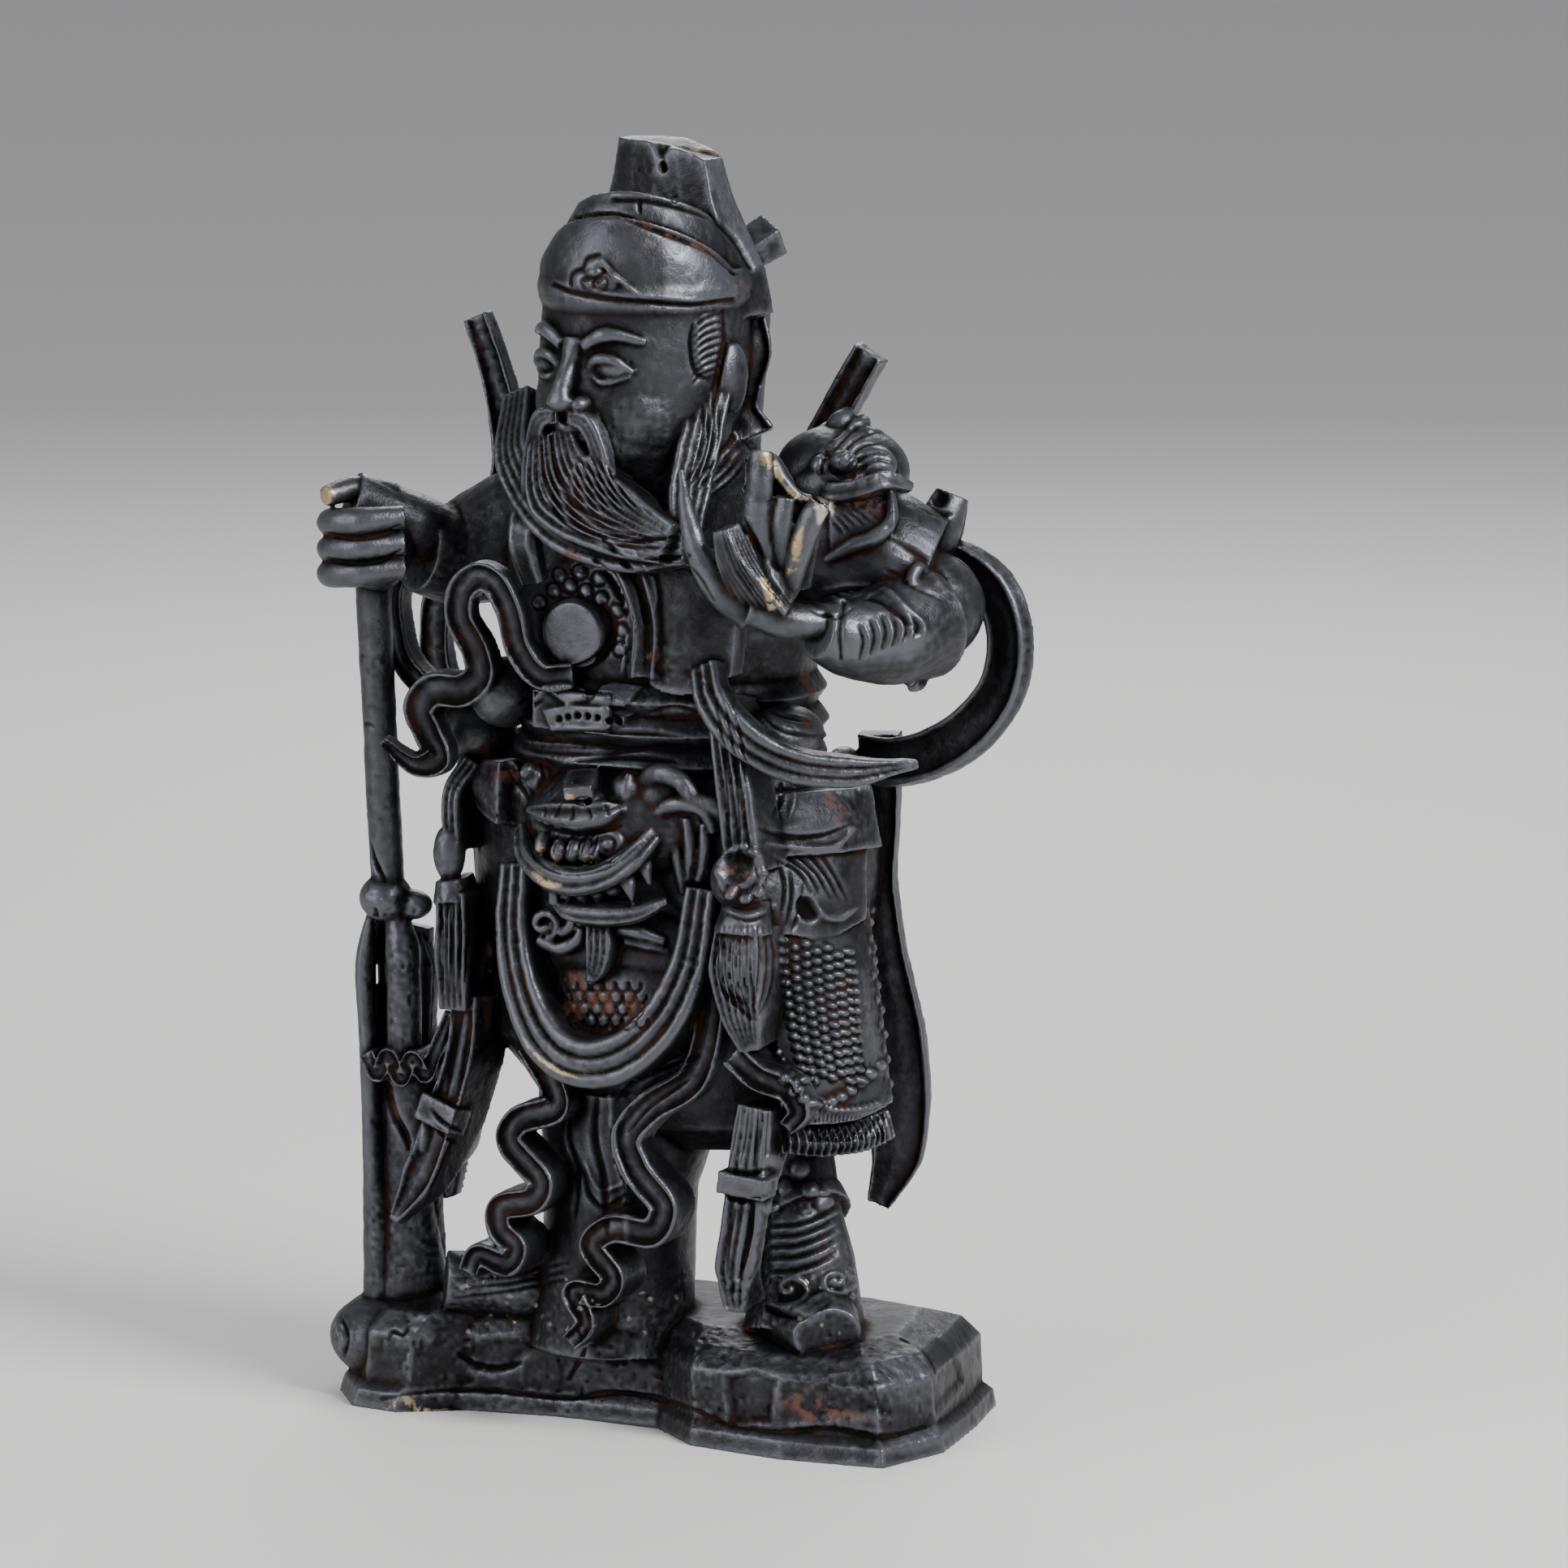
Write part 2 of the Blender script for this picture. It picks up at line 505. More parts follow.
def left_arm_forms():
    beast = [
        blob([30, 1, 164.6], [11.5, 11, 8]), blob([31, -7, 163.6], [6, 4.6, 4]), blob([37.5, -3, 166.5],
            [4, 4, 3.4]),
        blob(seen(1040, 568, -9), [2.4, 2, 1.9]), blob(seen(1012, 575, -9), [2, 2, 2]),
    ]
    mane = [
        sweep(trail((x, y, 0), (x + dx * 0.5, y + dy * 0.5, 1), (x + dx, y + dy, 4)), [2.1, 2.2, 1.1],
            [1.8, 1.8, 1.2])
        for x, y, dx, dy in (
            (1030, 530, 16, -22), (1045, 535, 20, -16), (1058, 545, 24, -8), (1066, 560, 28, -4), (1072, 575,
                30, 4),
            (1012, 545, 10, -20), (1075, 588, 34, 6),
        )
    ]
    beast_lip = sweep(
        trail((1000, 596, -9), (1030, 606, -11.4), (1062, 600, -11.6), (1090, 592, -9.6), (1122, 600, -4)),
        [1, 1.6, 1.7, 1.6, 0.8], [1.4, 1.8, 1.8, 1.6, 1], out=(0, -1, 0.5),
            section=band(strip(0.3, 1, 0.8, 0.5, 0.3)))
    sleeve = sweep([[20, 0, 154], [31, -2, 153], [40, -2, 151], [46, 0, 148.5]], [11, 11.5, 11, 9.5])
    shield = plate(
        sheet([seen(1020, 618, -11.6), seen(1096, 606, -8), seen(1022, 684, -14.4), seen(1098, 652, -11.6)],
            [0, -1.2, 0]),
        [0, 4, 0], 30, 30)
    lip_fold = sweep(
        trail((1016, 690, -14.4), (1050, 672, -14.4), (1080, 660, -13), (1098, 640, -11), (1098, 604, -8)),
        [0.7, 1.2, 1.4, 1.1, 0.7], [0.9, 1.4, 1.5, 1.2, 0.8])
    flared_cuff = sweep([[43, 4, 150], [46, 5.5, 156], [47.6, 7, 161]], [5, 4.2, 3], [6, 4.5, 2.4])
    elbow = blob([47.5, -2, 143], [9, 10, 9.4])
    guard = sweep([[48, -6, 141], [45.6, -15, 140.2], [41.5, -23, 140.6], [38.6, -28, 142]],
        [9.6, 8.6, 6.8, 4.6])
    brim_turn = np.linspace(-0.35, 1.6, 12) * np.pi
    brim = sweep(
        [[48.6 + 0.4 * np.cos(a), -9.4 - 6.4 * np.cos(a) + 0.6 * np.sin(a), 140.8 + 10.1 * np.sin(a)]
         for a in brim_turn],
        [1], [1.1])
    strip_hand = sweep(
        trail((960, 752, -30.6), (930, 722, -33.4), (908, 690, -34.4), (894, 650, -35)),
        [3.6, 3.8, 3, 1.7], [3, 2.6, 2.2, 1.8], out=(-0.35, -1, 0), section=band(beads(7, 0.2), 113))
    heel = sweep(trail((1010, 766, -27), (965, 764, -31), (925, 750, -32.6)), [2.6, 3.2, 3], [3, 3.2, 2.6])
    thumb = sweep(
        trail((930, 756, -31.4), (890, 726, -33), (862, 684, -33.4), (847, 636, -33.6), (839, 578, -34)),
        [3.6, 3.1, 2.2, 1.4, 0.45], [3, 2.6, 2, 1.4, 0.5])
    palm = plate(
        sheet([seen(912, 600, -31.4), seen(1000, 640, -28.6), seen(938, 720, -31.4), seen(985, 728, -29)],
            [0, 1.8, 0]),
        [0.8, 3, 0], 40, 50)
    fingers = [
        sweep(trail((942, 700, -31), (932, 640, -31.6), (937, 590, -31.6), (938, 555, -31)),
            [2.4, 2.6, 2.3, 1.9], [1.6, 1.8, 1.8, 1.6]),
        sweep(trail((965, 700, -30), (962, 650, -30.6), (968, 612, -30.4)), [2, 2.1, 1.7], [1.4, 1.5, 1.2]),
        sweep(trail((972, 722, -29.6), (988, 670, -30), (1003, 632, -29.6), (1011, 622, -29)),
            [2, 2.1, 2.1, 1.9], [1.8, 1.9, 1.9, 1.8]),
    ]
    web = plate(
        sheet([seen(918, 560, -30.6), seen(952, 562, -30), seen(915, 640, -31), seen(996, 640, -28.8)],
            [0, 0.8, 0]),
        [0.4, 2, 0], 30, 40)
    torn = sweep(trail((950, 560, -29.6), (964, 590, -29.4), (984, 612, -28.6), (1000, 616, -28)),
        [0.9, 1, 1.1, 0.9])
    wrist = sweep(trail((1036, 740, -24), (1035, 775, -26.4), (1034, 812, -24)), [1.2, 1.5, 1.2],
        [1.4, 1.6, 1.2])
    return [
        *beast, *mane, beast_lip, sleeve, shield, lip_fold, flared_cuff, elbow, guard, brim, strip_hand,
            heel, thumb,
        palm, *fingers, web, torn, wrist,
    ]


def chest_forms():
    breast = blob([-8.5, -13, 139], [15, 11, 12])
    boss = sweep([[-8.5, -18, 138], [-8.5, -23.4, 138], [-8.5, -24.7, 138]], [6.1, 6, 5.2], out=(0, 0, 1),
        section=circle(64))
    lapel = sweep(
        [[-4, -23, 155], [2.8, -24.4, 150], [6, -25, 141.7], [5.5, -24.4, 131.6]],
        [2.6, 3, 2.8, 2.6], [2, 2, 2, 2.2], section=band(strip(0.3, 0.9, 0.5, 0.3, 0.6, 1, 0.6)))
    flap = plate(
        sheet([[4, -24.6, 151], [22, -20, 155], [6, -24.4, 130], [20, -22, 132]], [0, -2.6, 0], 2), [0, 5,
            0], 40, 50)
    cut_strap = sweep(
        [[-17.6, -22, 158.6], [-17.4, -24.4, 153], [-16, -23.4, 146]], [2.9, 2.7, 2.2], [2.4, 2.2, 1.6],
        section=band(strip(0.5, 1, 0.9, 0.9, 1, 0.5)))
    plaque = plate(
        sheet([[-16, -24.6, 128], [-1, -26, 128], [-16, -24.8, 121.5], [-1, -26.2, 121.5]], [0, -0.6, 0]),
        [0, 4, 0], 40, 20)
    return [breast, boss, lapel, flap, cut_strap, plaque]


def mask_forms():
    face = blob([-2, -17, 106], [18, 12.2, 10.5])
    cheek = blob(seen(770, 1000, -22), [5, 5, 5])
    snout = [
        sweep(trail((720, 955, -26), (716, 968, -29.4), (712, 978, -32.2)), [2.6, 2.7, 2.4], [1.3, 1.5, 1.1],
              out=(0, -0.5, 1), section=closed_line([[-1, 1], [1, 1], [1, -1], [-1, -1]], 6)),
        blob(seen(733, 985, -29), [1.5, 2, 1.3]),
    ]
    eyes = [blob(seen(652, 950, -23.6), [1.4, 2, 1.5]), blob(seen(665, 958, -21.5), [2.6, 3, 2.6]),
            blob(seen(775, 975, -24), [3.4, 3.6, 3.4])]
    jaw = sweep(
        trail((642, 1018, -22), (648, 1050, -25.4), (672, 1076, -28.9), (708, 1086, -30.6),
            (748, 1078, -30.9),
              (780, 1056, -29.8), (806, 1028, -26.6)),
        [1.4, 2, 2.4, 2.4, 2.3, 2.2, 1.6], [1.2, 1.7, 1.9, 1.9, 1.9, 1.6, 1.2], [4],
            section=band(strip(0.3, 1, 0.9, 0.6, 0.8, 0.3)))
    lip = sweep(
        trail((652, 998, -27), (678, 1001, -29.4), (712, 1004, -30.6), (745, 1001, -30), (768, 996, -27.6)),
        [0.5, 1.9, 2.5, 2.1, 0.6], [0.8, 1.6, 1.8, 1.6, 0.8], out=(0, -1, 0.35),
            section=band(strip(0.3, 1, 0.7, 0.9, 1, 0.4)))
    teeth = [
        sweep(trail((x + 4, y - 16, set_back - 28.4), (x, y - 4, set_back - 29.4),
                    (x - 2, y + 4, set_back - 29)), [1, 1.3, 1], [1.2, 1.5, 0.9])
        for x, y, set_back in ((668, 1044, 1.2), (688, 1053, 0), (706, 1054, 0), (722, 1055, 0),
                               (736, 1054, 0))
    ]
    ring = sweep(
        [seen(750 + 15 * np.cos(k), 1039 + 13 * np.sin(k), -28.6) for k in np.linspace(0, 2 * np.pi, 13)],
            [0.8], [0.9])
    bead = blob(seen(751, 1039, -28.4), [1.4, 1.6, 1.3])
    hood = [
        sweep(trail((771, 1000, -25), (770, 978, -26.6), (776, 953, -25.5)), [0.9, 1.1, 0.7]),
        sweep(trail((790, 968, -24), (812, 953, -25.6), (838, 962, -26), (856, 985, -26), (882, 996, -25.4),
                    (892, 1020, -23)),
              [1.6, 1.8, 1.8, 1.7, 1.5, 1], [1.3, 1.5, 1.6, 1.5, 1.3, 0.8]),
        sweep(trail((804, 1025, -24), (810, 1002, -25.4), (836, 990, -26.2), (866, 998, -26),
                    (880, 1024, -24)),
              [1, 1.2, 1.3, 1.2, 1], [1.1, 1.3, 1.4, 1.3, 1]),
        blob(seen(812, 985, -22.5), [5, 4, 5]), blob(seen(845, 1010, -21), [6, 3.6, 4]),
    ]
    folds = [
        sweep(trail((829, 1018, -23.6), (833, 1050, -24), (840, 1085, -23), (842, 1100, -22)),
            [0.9, 1, 1, 0.7]),
        sweep(trail((847, 1008, -24), (850, 1050, -24.4), (848, 1084, -23)), [1, 1.1, 0.8]),
        sweep(trail((868, 1014, -23.6), (868, 1050, -24), (860, 1086, -23)), [0.9, 1.1, 0.8]),
    ]
    behind_folds = blob(seen(845, 1060, -19), [5, 3.6, 9])
    backing = blob([-2, -17.6, 84], [17, 7.6, 9])
    bar = sweep(trail((683, 1088, -28.6), (683, 1113, -28)), [0.9, 0.9])
    fangs = [
        sweep(trail((768, 1072, -28.6), (774, 1090, -29.4), (779, 1112, -29)), [1.6, 1.4, 0.35]),
        sweep(trail((789, 1050, -27.4), (795, 1070, -28.2), (800, 1090, -27.8)), [1.5, 1.2, 0.35]),
    ]
    chin_beads = [blob(seen(x, y, -27.6), [1.5, 2, 1.5]) for x,
        y in ((702, 1098), (720, 1100), (738, 1098), (756, 1094))]
    crescent = sweep(
        trail((688, 1112, -26.4), (706, 1122, -27.8), (745, 1127, -28.6), (785, 1124, -28),
            (822, 1110, -25.6)),
        [0.8, 1.7, 2.1, 1.8, 0.8], [1.4, 2, 2.2, 2, 1.2], section=band(strip(0.2, 0.8, 1, 0.9, 1, 0.4)))
    coil = [seen(671 + r * np.cos(a), 1138 + r * np.sin(a), -26 + 0.05 * r)
            for a, r in ((a, 3 + 2.1 * a) for a in np.linspace(0, 7.6, 16))]
    curls = [
        sweep(coil, [0.8], [1.1]),
        sweep(trail((664, 1158, -25), (690, 1168, -25.4), (712, 1158, -25.6), (716, 1143, -25.6)),
            [1, 1.2, 1, 0.7]),
        sweep(trail((690, 1150, -25.4), (702, 1142, -25.8), (706, 1130, -26)), [0.8, 0.9, 0.7]),
        sweep(trail((762, 1146, -25.6), (790, 1150, -25.6), (820, 1160, -24)), [1, 1.2, 0.8]),
        sweep(trail((770, 1158, -25), (800, 1164, -24.6), (824, 1172, -23)), [0.9, 1.1, 0.7]),
    ]
    tuft = sweep(
        trail((742, 1138, -26), (742, 1165, -27), (738, 1190, -26.6), (730, 1206, -25.6)), [2.4, 2.5, 2, 0.9],
        [2, 2.2, 1.8, 1], section=band(beads(4, 0.45), 81))
    tuft_bead = blob(seen(729, 1206, -26.4), [1, 1.2, 1])
    return [
        face, cheek, *snout, *eyes, jaw, lip, *teeth, ring, bead, *hood, *folds, behind_folds, backing, bar,
            *fangs,
        *chin_beads, crescent, *curls, tuft, tuft_bead,
    ]


def swag_forms():
    loop = sweep(
        [[-20.6, -21, 97], [-19.8, -24, 87], [-16.9, -26.8, 77.6], [-12.1, -29.2, 70.1], [-6.6, -30.4, 66.4],
         [-0.6, -30.8, 66], [5, -29.8, 68.3], [10.4, -28.2, 74], [14.2, -25.8, 83], [15.4, -23, 96]],
        [2.8, 3, 3.4, 4, 4.2, 4.2, 4, 3.8, 3.4, 3], [2.2], [2, 4, 7, 9, 7, 4, 2], section=band(beads(3)))
    right_tail = sweep(
        [[-17.6, -22, 66.5], [-12.4, -23.6, 60], [-11.2, -25, 56.6], [-17.6, -26.5, 53.8], [-19, -27.2, 50.6],
         [-12.6, -28, 43.8], [-14, -28, 40.8], [-20.4, -28, 38.6], [-20.4, -28, 35], [-17.4, -28, 32],
         [-19, -28.2, 29.2], [-24.4, -28.7, 30.2], [-26.2, -29, 26.8]],
        [2.6, 2.6, 2.5, 2.5, 2.4, 2.3, 2.2, 1.8], [1.8], [5, 4, 6, 7, 8, 8], section=band(rims()))
    left_tail = sweep(
        [[16.8, -22, 82.4], [16.7, -23.1, 72], [14.4, -24.6, 63.6], [7, -26.4, 58.2], [3.4, -27.3, 53],
         [5.4, -27.5, 47.7], [10.6, -28, 41.6], [8.6, -28.1, 37.4], [0.8, -28.3, 37.2], [-2.7, -28.5, 34],
         [1.4, -28.7, 28.6], [-0.4, -28.9, 25.8], [-5.8, -29.1, 25.6], [-3.6, -29.3, 20.6], [-6.7, -29.5,
             16.7]],
        [2.5, 2.8, 2.8, 2.7, 2.5, 2.3, 2.2, 1.6], [1.8], [3, 3, 6, 7, 8, 8], section=band(rims()))
    apron = blob([-1, -14, 74], [17, 12, 18])
    return [loop, right_tail, left_tail, apron]


def ribbon_forms():
    ripple = sweep(
        [[-8.3, -24.4, 131], [-13, -26.2, 130.8], [-16.4, -27.4, 135], [-18, -28.2, 142],
            [-20.4, -28.5, 146.4],
         [-23.4, -28.4, 147.4], [-26.8, -27.8, 145], [-28, -26.8, 140], [-25.6, -25.4, 134], [-25.4, -24.8,
             130],
         [-29, -24, 127], [-35, -23.5, 126.4], [-37.9, -22.8, 123], [-36.6, -22.2, 118.7],
         [-34.6, -22.6, 114.6], [-38, -24.3, 113.5], [-43.6, -26, 117.7]],
        [2, 2.4, 2.5, 2.5, 2.6, 2.7, 2.8, 3, 3, 2.8, 2.4, 0.7], [1.7], [3, 3, 2, 1.7, 1.7, 3, 4, 3, 1.7, 1.7],
        section=band(rims()))
    tie = blob([-24, -18, 126], [6, 8, 6])
    knot = blob([-35, -8, 116.6], [7, 8, 6])
    leaf = sweep(
        [[-47.6, -10, 146], [-49.8, -10, 140.6], [-49.6, -10, 135], [-47.6, -11, 129.6], [-43.6, -12, 125.6],
         [-34, -11, 120]],
        [1.8, 2.2, 2.2, 2.2, 2.2, 2.6], [1.6], [3], section=band(rims()))
    behind = sweep(
        [[-42, 4, 148], [-48, 5, 139], [-49.4, 5, 131], [-48.6, 5, 124], [-44, 4, 118], [-33, 2, 113]],
        [2.6, 2.8, 2.8, 3, 3.2, 3.4], [1.6], section=band(rims()))
    point = sweep(
        [[16.6, -24, 134], [19, -26.6, 129], [24.4, -27.4, 123.4], [32, -25, 119], [41, -20, 117.4],
         [50.2, -13.6, 118.4]],
        [2.6, 3, 3.2, 3, 2.6, 0.7], [2], section=band(beads(3)))
    root = blob([27, -16, 122], [6, 9, 5])
    loop = sweep(
        [[44, 6, 150], [48.6, 8, 149.2], [54.6, 9, 144.6], [57.3, 9, 137.3], [55.9, 9, 128], [50.2, 9, 120.6],
         [42.5, 9.4, 115.8], [35, 10, 113.8], [28, 12, 113.8]],
        [3, 3.8, 4.1, 4.2, 4.1, 4], [1.8], out=[[-0.5, -1, 0], [-0.2, -1, 0.3]],
            section=band(rims(0.25, 0.4)))
    return [ripple, tie, knot, leaf, behind, point, root, loop]


SQUARE = np.array([[-1, 1], [1, 1], [1, -1], [-1, -1]], float)


def pendant_forms():
    right = [
        sweep([[-32, -15, 113], [-34.4, -17, 108], [-34, -18, 98]], [1.7], [2.4, 2.2], [5],
            section=band(beads(3))),
        blob([-35, -18.6, 97.4], [2.9, 2.6, 5]),
        sweep([[-34.6, -19, 93], [-34, -19, 89.4]], [2.6, 3.6], back=[7]),
        sweep([[-33.4, -19, 91], [-33.2, -19.8, 80], [-33.2, -19.4, 70.6]], [2.8, 3.3, 2.7], [2.6, 2.8, 2.2],
            [9, 9, 8],
              section=band(beads(5))),
        sweep([[-31.6, -18, 73], [-32.3, -18.8, 63], [-35.2, -20, 52.5], [-38.6, -23, 41],
               [-42.9, -25, 33.5]],
              [2.8, 2.9, 3.2, 3.4, 0.8], [1.8, 1.8, 1.8, 1.8, 0.9], [7, 8, 8, 4, 2], out=(-0.2, -1, 0),
              section=band(rims())),
        sweep([[-34.8, -20.4, 54.4], [-36.2, -21, 50]], [3.9], [2.5], out=(-0.2, -1, 0), section=SQUARE),
        plate(sheet([[-44, -5, 62], [-35, -5, 62], [-48, -6, 33], [-41, -5, 34]], [2.6, -1.6, 0]),
            [0, 2.6, 0], 24, 60),
        blob([-38.6, -12, 47], [3, 11, 7]),
    ]
    left = [
        sweep([[18.6, -22, 129], [22.4, -25.6, 116], [25, -26, 100]], [2.4, 3.2, 3.6], [2.4, 2.2], [8],
              section=band(beads(4))),
        blob([23.6, -26.6, 98.6], [5, 3.6, 5]),
        sweep([[24.2, -26, 95], [24.2, -26.6, 89.8]], [3.4, 4.8], back=[7]),
        sweep([[24.2, -26.4, 91], [24, -27, 84], [25, -26.6, 76], [26, -26, 70]], [4, 4.7, 3.8, 2],
            [3.2, 3.6, 3, 2], [8],
              section=band(beads(7))),
        sweep([[22.6, -26, 69], [27, -26.4, 65.6], [32.4, -25.4, 63.4], [34, -24.4, 59.6],
               [31.6, -24.6, 56.6]],
              [2.4, 2.4, 2.2, 2, 1.4], [1.8, 1.6], [6, 4, 2], section=band(rims())),
        sweep([[26.4, -25, 60], [25.4, -25.6, 52], [24.4, -26, 42], [23, -26.4, 32], [22.8, -26, 24.6]],
              [3.4, 3.5, 3.6, 3.6, 1.8], [2, 2, 2, 2, 1.2], [8, 8, 2, 2, 8], section=band(beads(4))),
        sweep([[25, -26, 48.6], [24.6, -26, 44.8]], [4.4], [2.8], section=SQUARE),
    ]
    return right + left


def hip_forms():
    right_hip = plate(
        sheet([[-36.5, -7, 112], [-24, -21.4, 114.6], [-35, -8, 107.6], [-24, -22.4, 103.5]], [-2, -2, 0]),
        [3, 5, 0], 40, 30)
    over_hip = plate(
        sheet([[22, -20, 112], [35, 2, 111], [24, -23, 102], [37, 2, 100.6]], [2.4, -2.4, 0]), [-4, 5, 0],
            60, 30)
    under_hip = plate(
        sheet([[24, -20, 103], [35, 0, 102], [26, -22.6, 90], [36, -2, 88.6]], [1.6, -1.6, 0], 2), [-4, 5,
            0], 60, 40)
    scales = plate(
        sheet([[25.4, -19, 92], [34.6, 2, 90], [30, -23, 57], [40, 0, 57]], [4, -4, 0], 1), [-6, 6, 0], 100,
            160)
    fringe = plate(
        sheet([[29, -22, 56], [39, 0, 55.6], [29.6, -22.6, 51.6], [40.4, 0, 51]], [4, -4, 0], 1,
              relief=lambda u, v: 0.5 * np.cos(2 * np.pi * 17 * u)), [-5, 5, 0], 200, 20)
    drape = sweep(
        [[31, 14, 118], [31, 15.4, 104], [30.6, 15.6, 92], [31.6, 16, 80], [33.4, 17, 66], [34, 17.4, 54],
         [33, 17.4, 44], [29.6, 17, 35]],
        [3.6, 3, 2.6, 3.2, 4.4, 4.8, 4.6, 2], [2], out=[[0.2, -1, 0], [0.4, -1, 0]],
            section=band(rims(0.25, 0.35)))
    hold = blob([26, 10, 98], [6, 9, 18])
    return [right_hip, over_hip, under_hip, scales, fringe, drape, hold]


def edge_ends(mesh):
    """Both vertex numbers of every edge, as two arrays."""
    ends = np.empty(2 * len(mesh.edges), np.int32)
    mesh.edges.foreach_get("vertices", ends)
    return ends[::2], ends[1::2]


def vertex_places(mesh):
    """Coordinates of every vertex."""
    found = np.empty(3 * len(mesh.vertices), np.float32)
    mesh.vertices.foreach_get("co", found)
    return found.reshape(-1, 3).astype(float)


def vertex_normals(mesh):
    """Normal of every vertex."""
    found = np.empty(3 * len(mesh.vertices), np.float32)
    mesh.vertex_normals.foreach_get("vector", found)
    return found.reshape(-1, 3).astype(float)


def neighbour_mean(values, ends, count):
    """Mean of each vertex's neighbours, column by column."""
    a, b = ends
    sums = [np.bincount(a, c[b], len(values)) + np.bincount(b, c[a], len(values)) for c in values.T]
    return np.stack(sums, axis=-1) / count[:, None]


def eased(points, ends, count, rounds):
    """Each point moved half way to the mean of its neighbours, then a little further back, which
    takes off stairs without shrinking the form."""
    for step in (0.5, -0.52) * rounds:
        points = points + (neighbour_mean(points, ends, count) - points) * step
    return points


def softened(points, ends, count, spread):
    """Spreads every point into its neighbours, as heat spreads, for a time. Each cycle takes ten
    steps whose lengths follow the roots of a Chebyshev polynomial, so that ten do the work of
    thirty-five."""
    cycles = int(np.ceil(spread / 35.1))
    roots = np.cos((2 * np.arange(1, 11) - 1) * np.pi / 20)
    for step in np.tile(spread / cycles / 35.1 / (1.02 - 0.98 * roots), cycles):
        points = points + (neighbour_mean(points, ends, count) - points) * step
    return points


def noise(points, size, seed):
    """Smooth lattice noise from -1 to 1: hashed numbers at the corners of cells of a size, blended
    by the smooth step of the place in the cell."""
    q = points / size + 37.3 * seed
    cell = np.floor(q).astype(np.int64)
    f = q - cell
    f = f * f * (3 - 2 * f)
    value = np.zeros(len(points))
    for corner in np.ndindex(2, 2, 2):
        x, y, z = (cell + corner).T
        key = (x * 73856093) ^ (y * 19349663) ^ (z * 83492791)
        key = ((key ^ (key >> 13)) * 1274126177) & 0xFFFFFFFF
        weight = np.prod(np.where(corner, f, 1 - f), axis=1)
        value += weight * (((key >> 8) & 0xFFFF) / 32767.5 - 1)
    return value


def baked(piece, kind, **settings):
    """The piece's mesh with one modifier applied, in place of its old mesh."""
    modifier = piece.modifiers.new(kind.lower(), kind)
    for key, value in settings.items():
        setattr(modifier, key, value)
    graph = bpy.context.evaluated_depsgraph_get()
    mesh = bpy.data.meshes.new_from_object(piece.evaluated_get(graph))
    piece.modifiers.remove(modifier)
    old = piece.data
    piece.data = mesh
    bpy.data.meshes.remove(old)
    return mesh


def set_places(mesh, points):
    """Moves every vertex of a mesh."""
    mesh.vertices.foreach_set("co", points.astype(np.float32).ravel())
    mesh.update()


def without_specks(faces, count):
    """Triangles of the shells that have at least SPECK of them. Every vertex takes over the lowest
    number in its triangles, and that one's own number, until all of a shell share one."""
    label = np.arange(count)
    while True:
        lower = label.copy()
        np.minimum.at(lower, faces.ravel(), np.repeat(label[faces].min(1), 3))
        lower = lower[lower]
        if (lower == label).all():
            break
        label = lower
    shell = label[faces[:, 0]]
    return faces[np.bincount(shell)[shell] >= SPECK]


def sliced(points, faces, level):
    """Triangles cut along a level plane. Each edge that crosses it gets one new point, whose
    columns are all blended from its ends, and each crossing triangle becomes three."""
    above = points[:, 2] > level
    count = above[faces].sum(1)
    crossing = (count == 1) | (count == 2)
    f = faces[crossing]
    lone = above[f] == (count[crossing] == 1)[:, None]
    first = np.argmax(lone, axis=1)[:, None]
    f = np.take_along_axis(f, (first + np.arange(3)) % 3, axis=1)
    edges = np.sort(f[:, [0, 1, 0, 2]].reshape(-1, 2), axis=1)
    edges, place = np.unique(edges, axis=0, return_inverse=True)
    low, high = points[edges[:, 0]], points[edges[:, 1]]
    share = ((level - low[:, 2]) / (high[:, 2] - low[:, 2]))[:, None]
    near_b, near_c = (len(points) + place.reshape(-1, 2)).T
    a, b, c = f.T
    more = [np.stack(t, axis=-1) for t in ((a, near_b, near_c), (near_b, b, c), (near_b, c, near_c))]
    return np.vstack([points, low + (high - low) * share]), np.vstack([faces[~crossing], *more])


def capped(points, faces):
    """Triangles that close the level holes of a slab, found by a sweep fill of its free edges."""
    sides = faces[:, [0, 1, 1, 2, 2, 0]].reshape(-1, 2)
    key = np.sort(sides, axis=1)
    key = key[:, 0] * len(points) + key[:, 1]
    found, first, times = np.unique(key, return_index=True, return_counts=True)
    free = sides[first[times == 1]]
    if not len(free):
        return np.empty((0, 3), int)
    used, place = np.unique(free, return_inverse=True)
    fill = bmesh.new()
    corners = [fill.verts.new(points[k, :3]) for k in used]
    fill.verts.index_update()
    edges = [fill.edges.new((corners[i], corners[j])) for i, j in place.reshape(-1, 2)]
    made = []
    for level in np.unique(np.round(points[used, 2], 4)):
        rim = [e for e in edges if abs(e.verts[0].co.z - level) < 1e-3]
        done = bmesh.ops.triangle_fill(fill, use_beauty=False, use_dissolve=False, edges=rim,
            normal=(0, 0, 1))
        up = 1 if level > points[faces[:, 0], 2].mean() else -1
        for face in (g for g in done["geom"] if isinstance(g, bmesh.types.BMFace)):
            face.normal_update()
            turn = [v.index for v in face.verts]
            made.append(turn if face.normal.z * up > 0 else turn[::-1])
    fill.free()
    return used[np.array(made, int)]


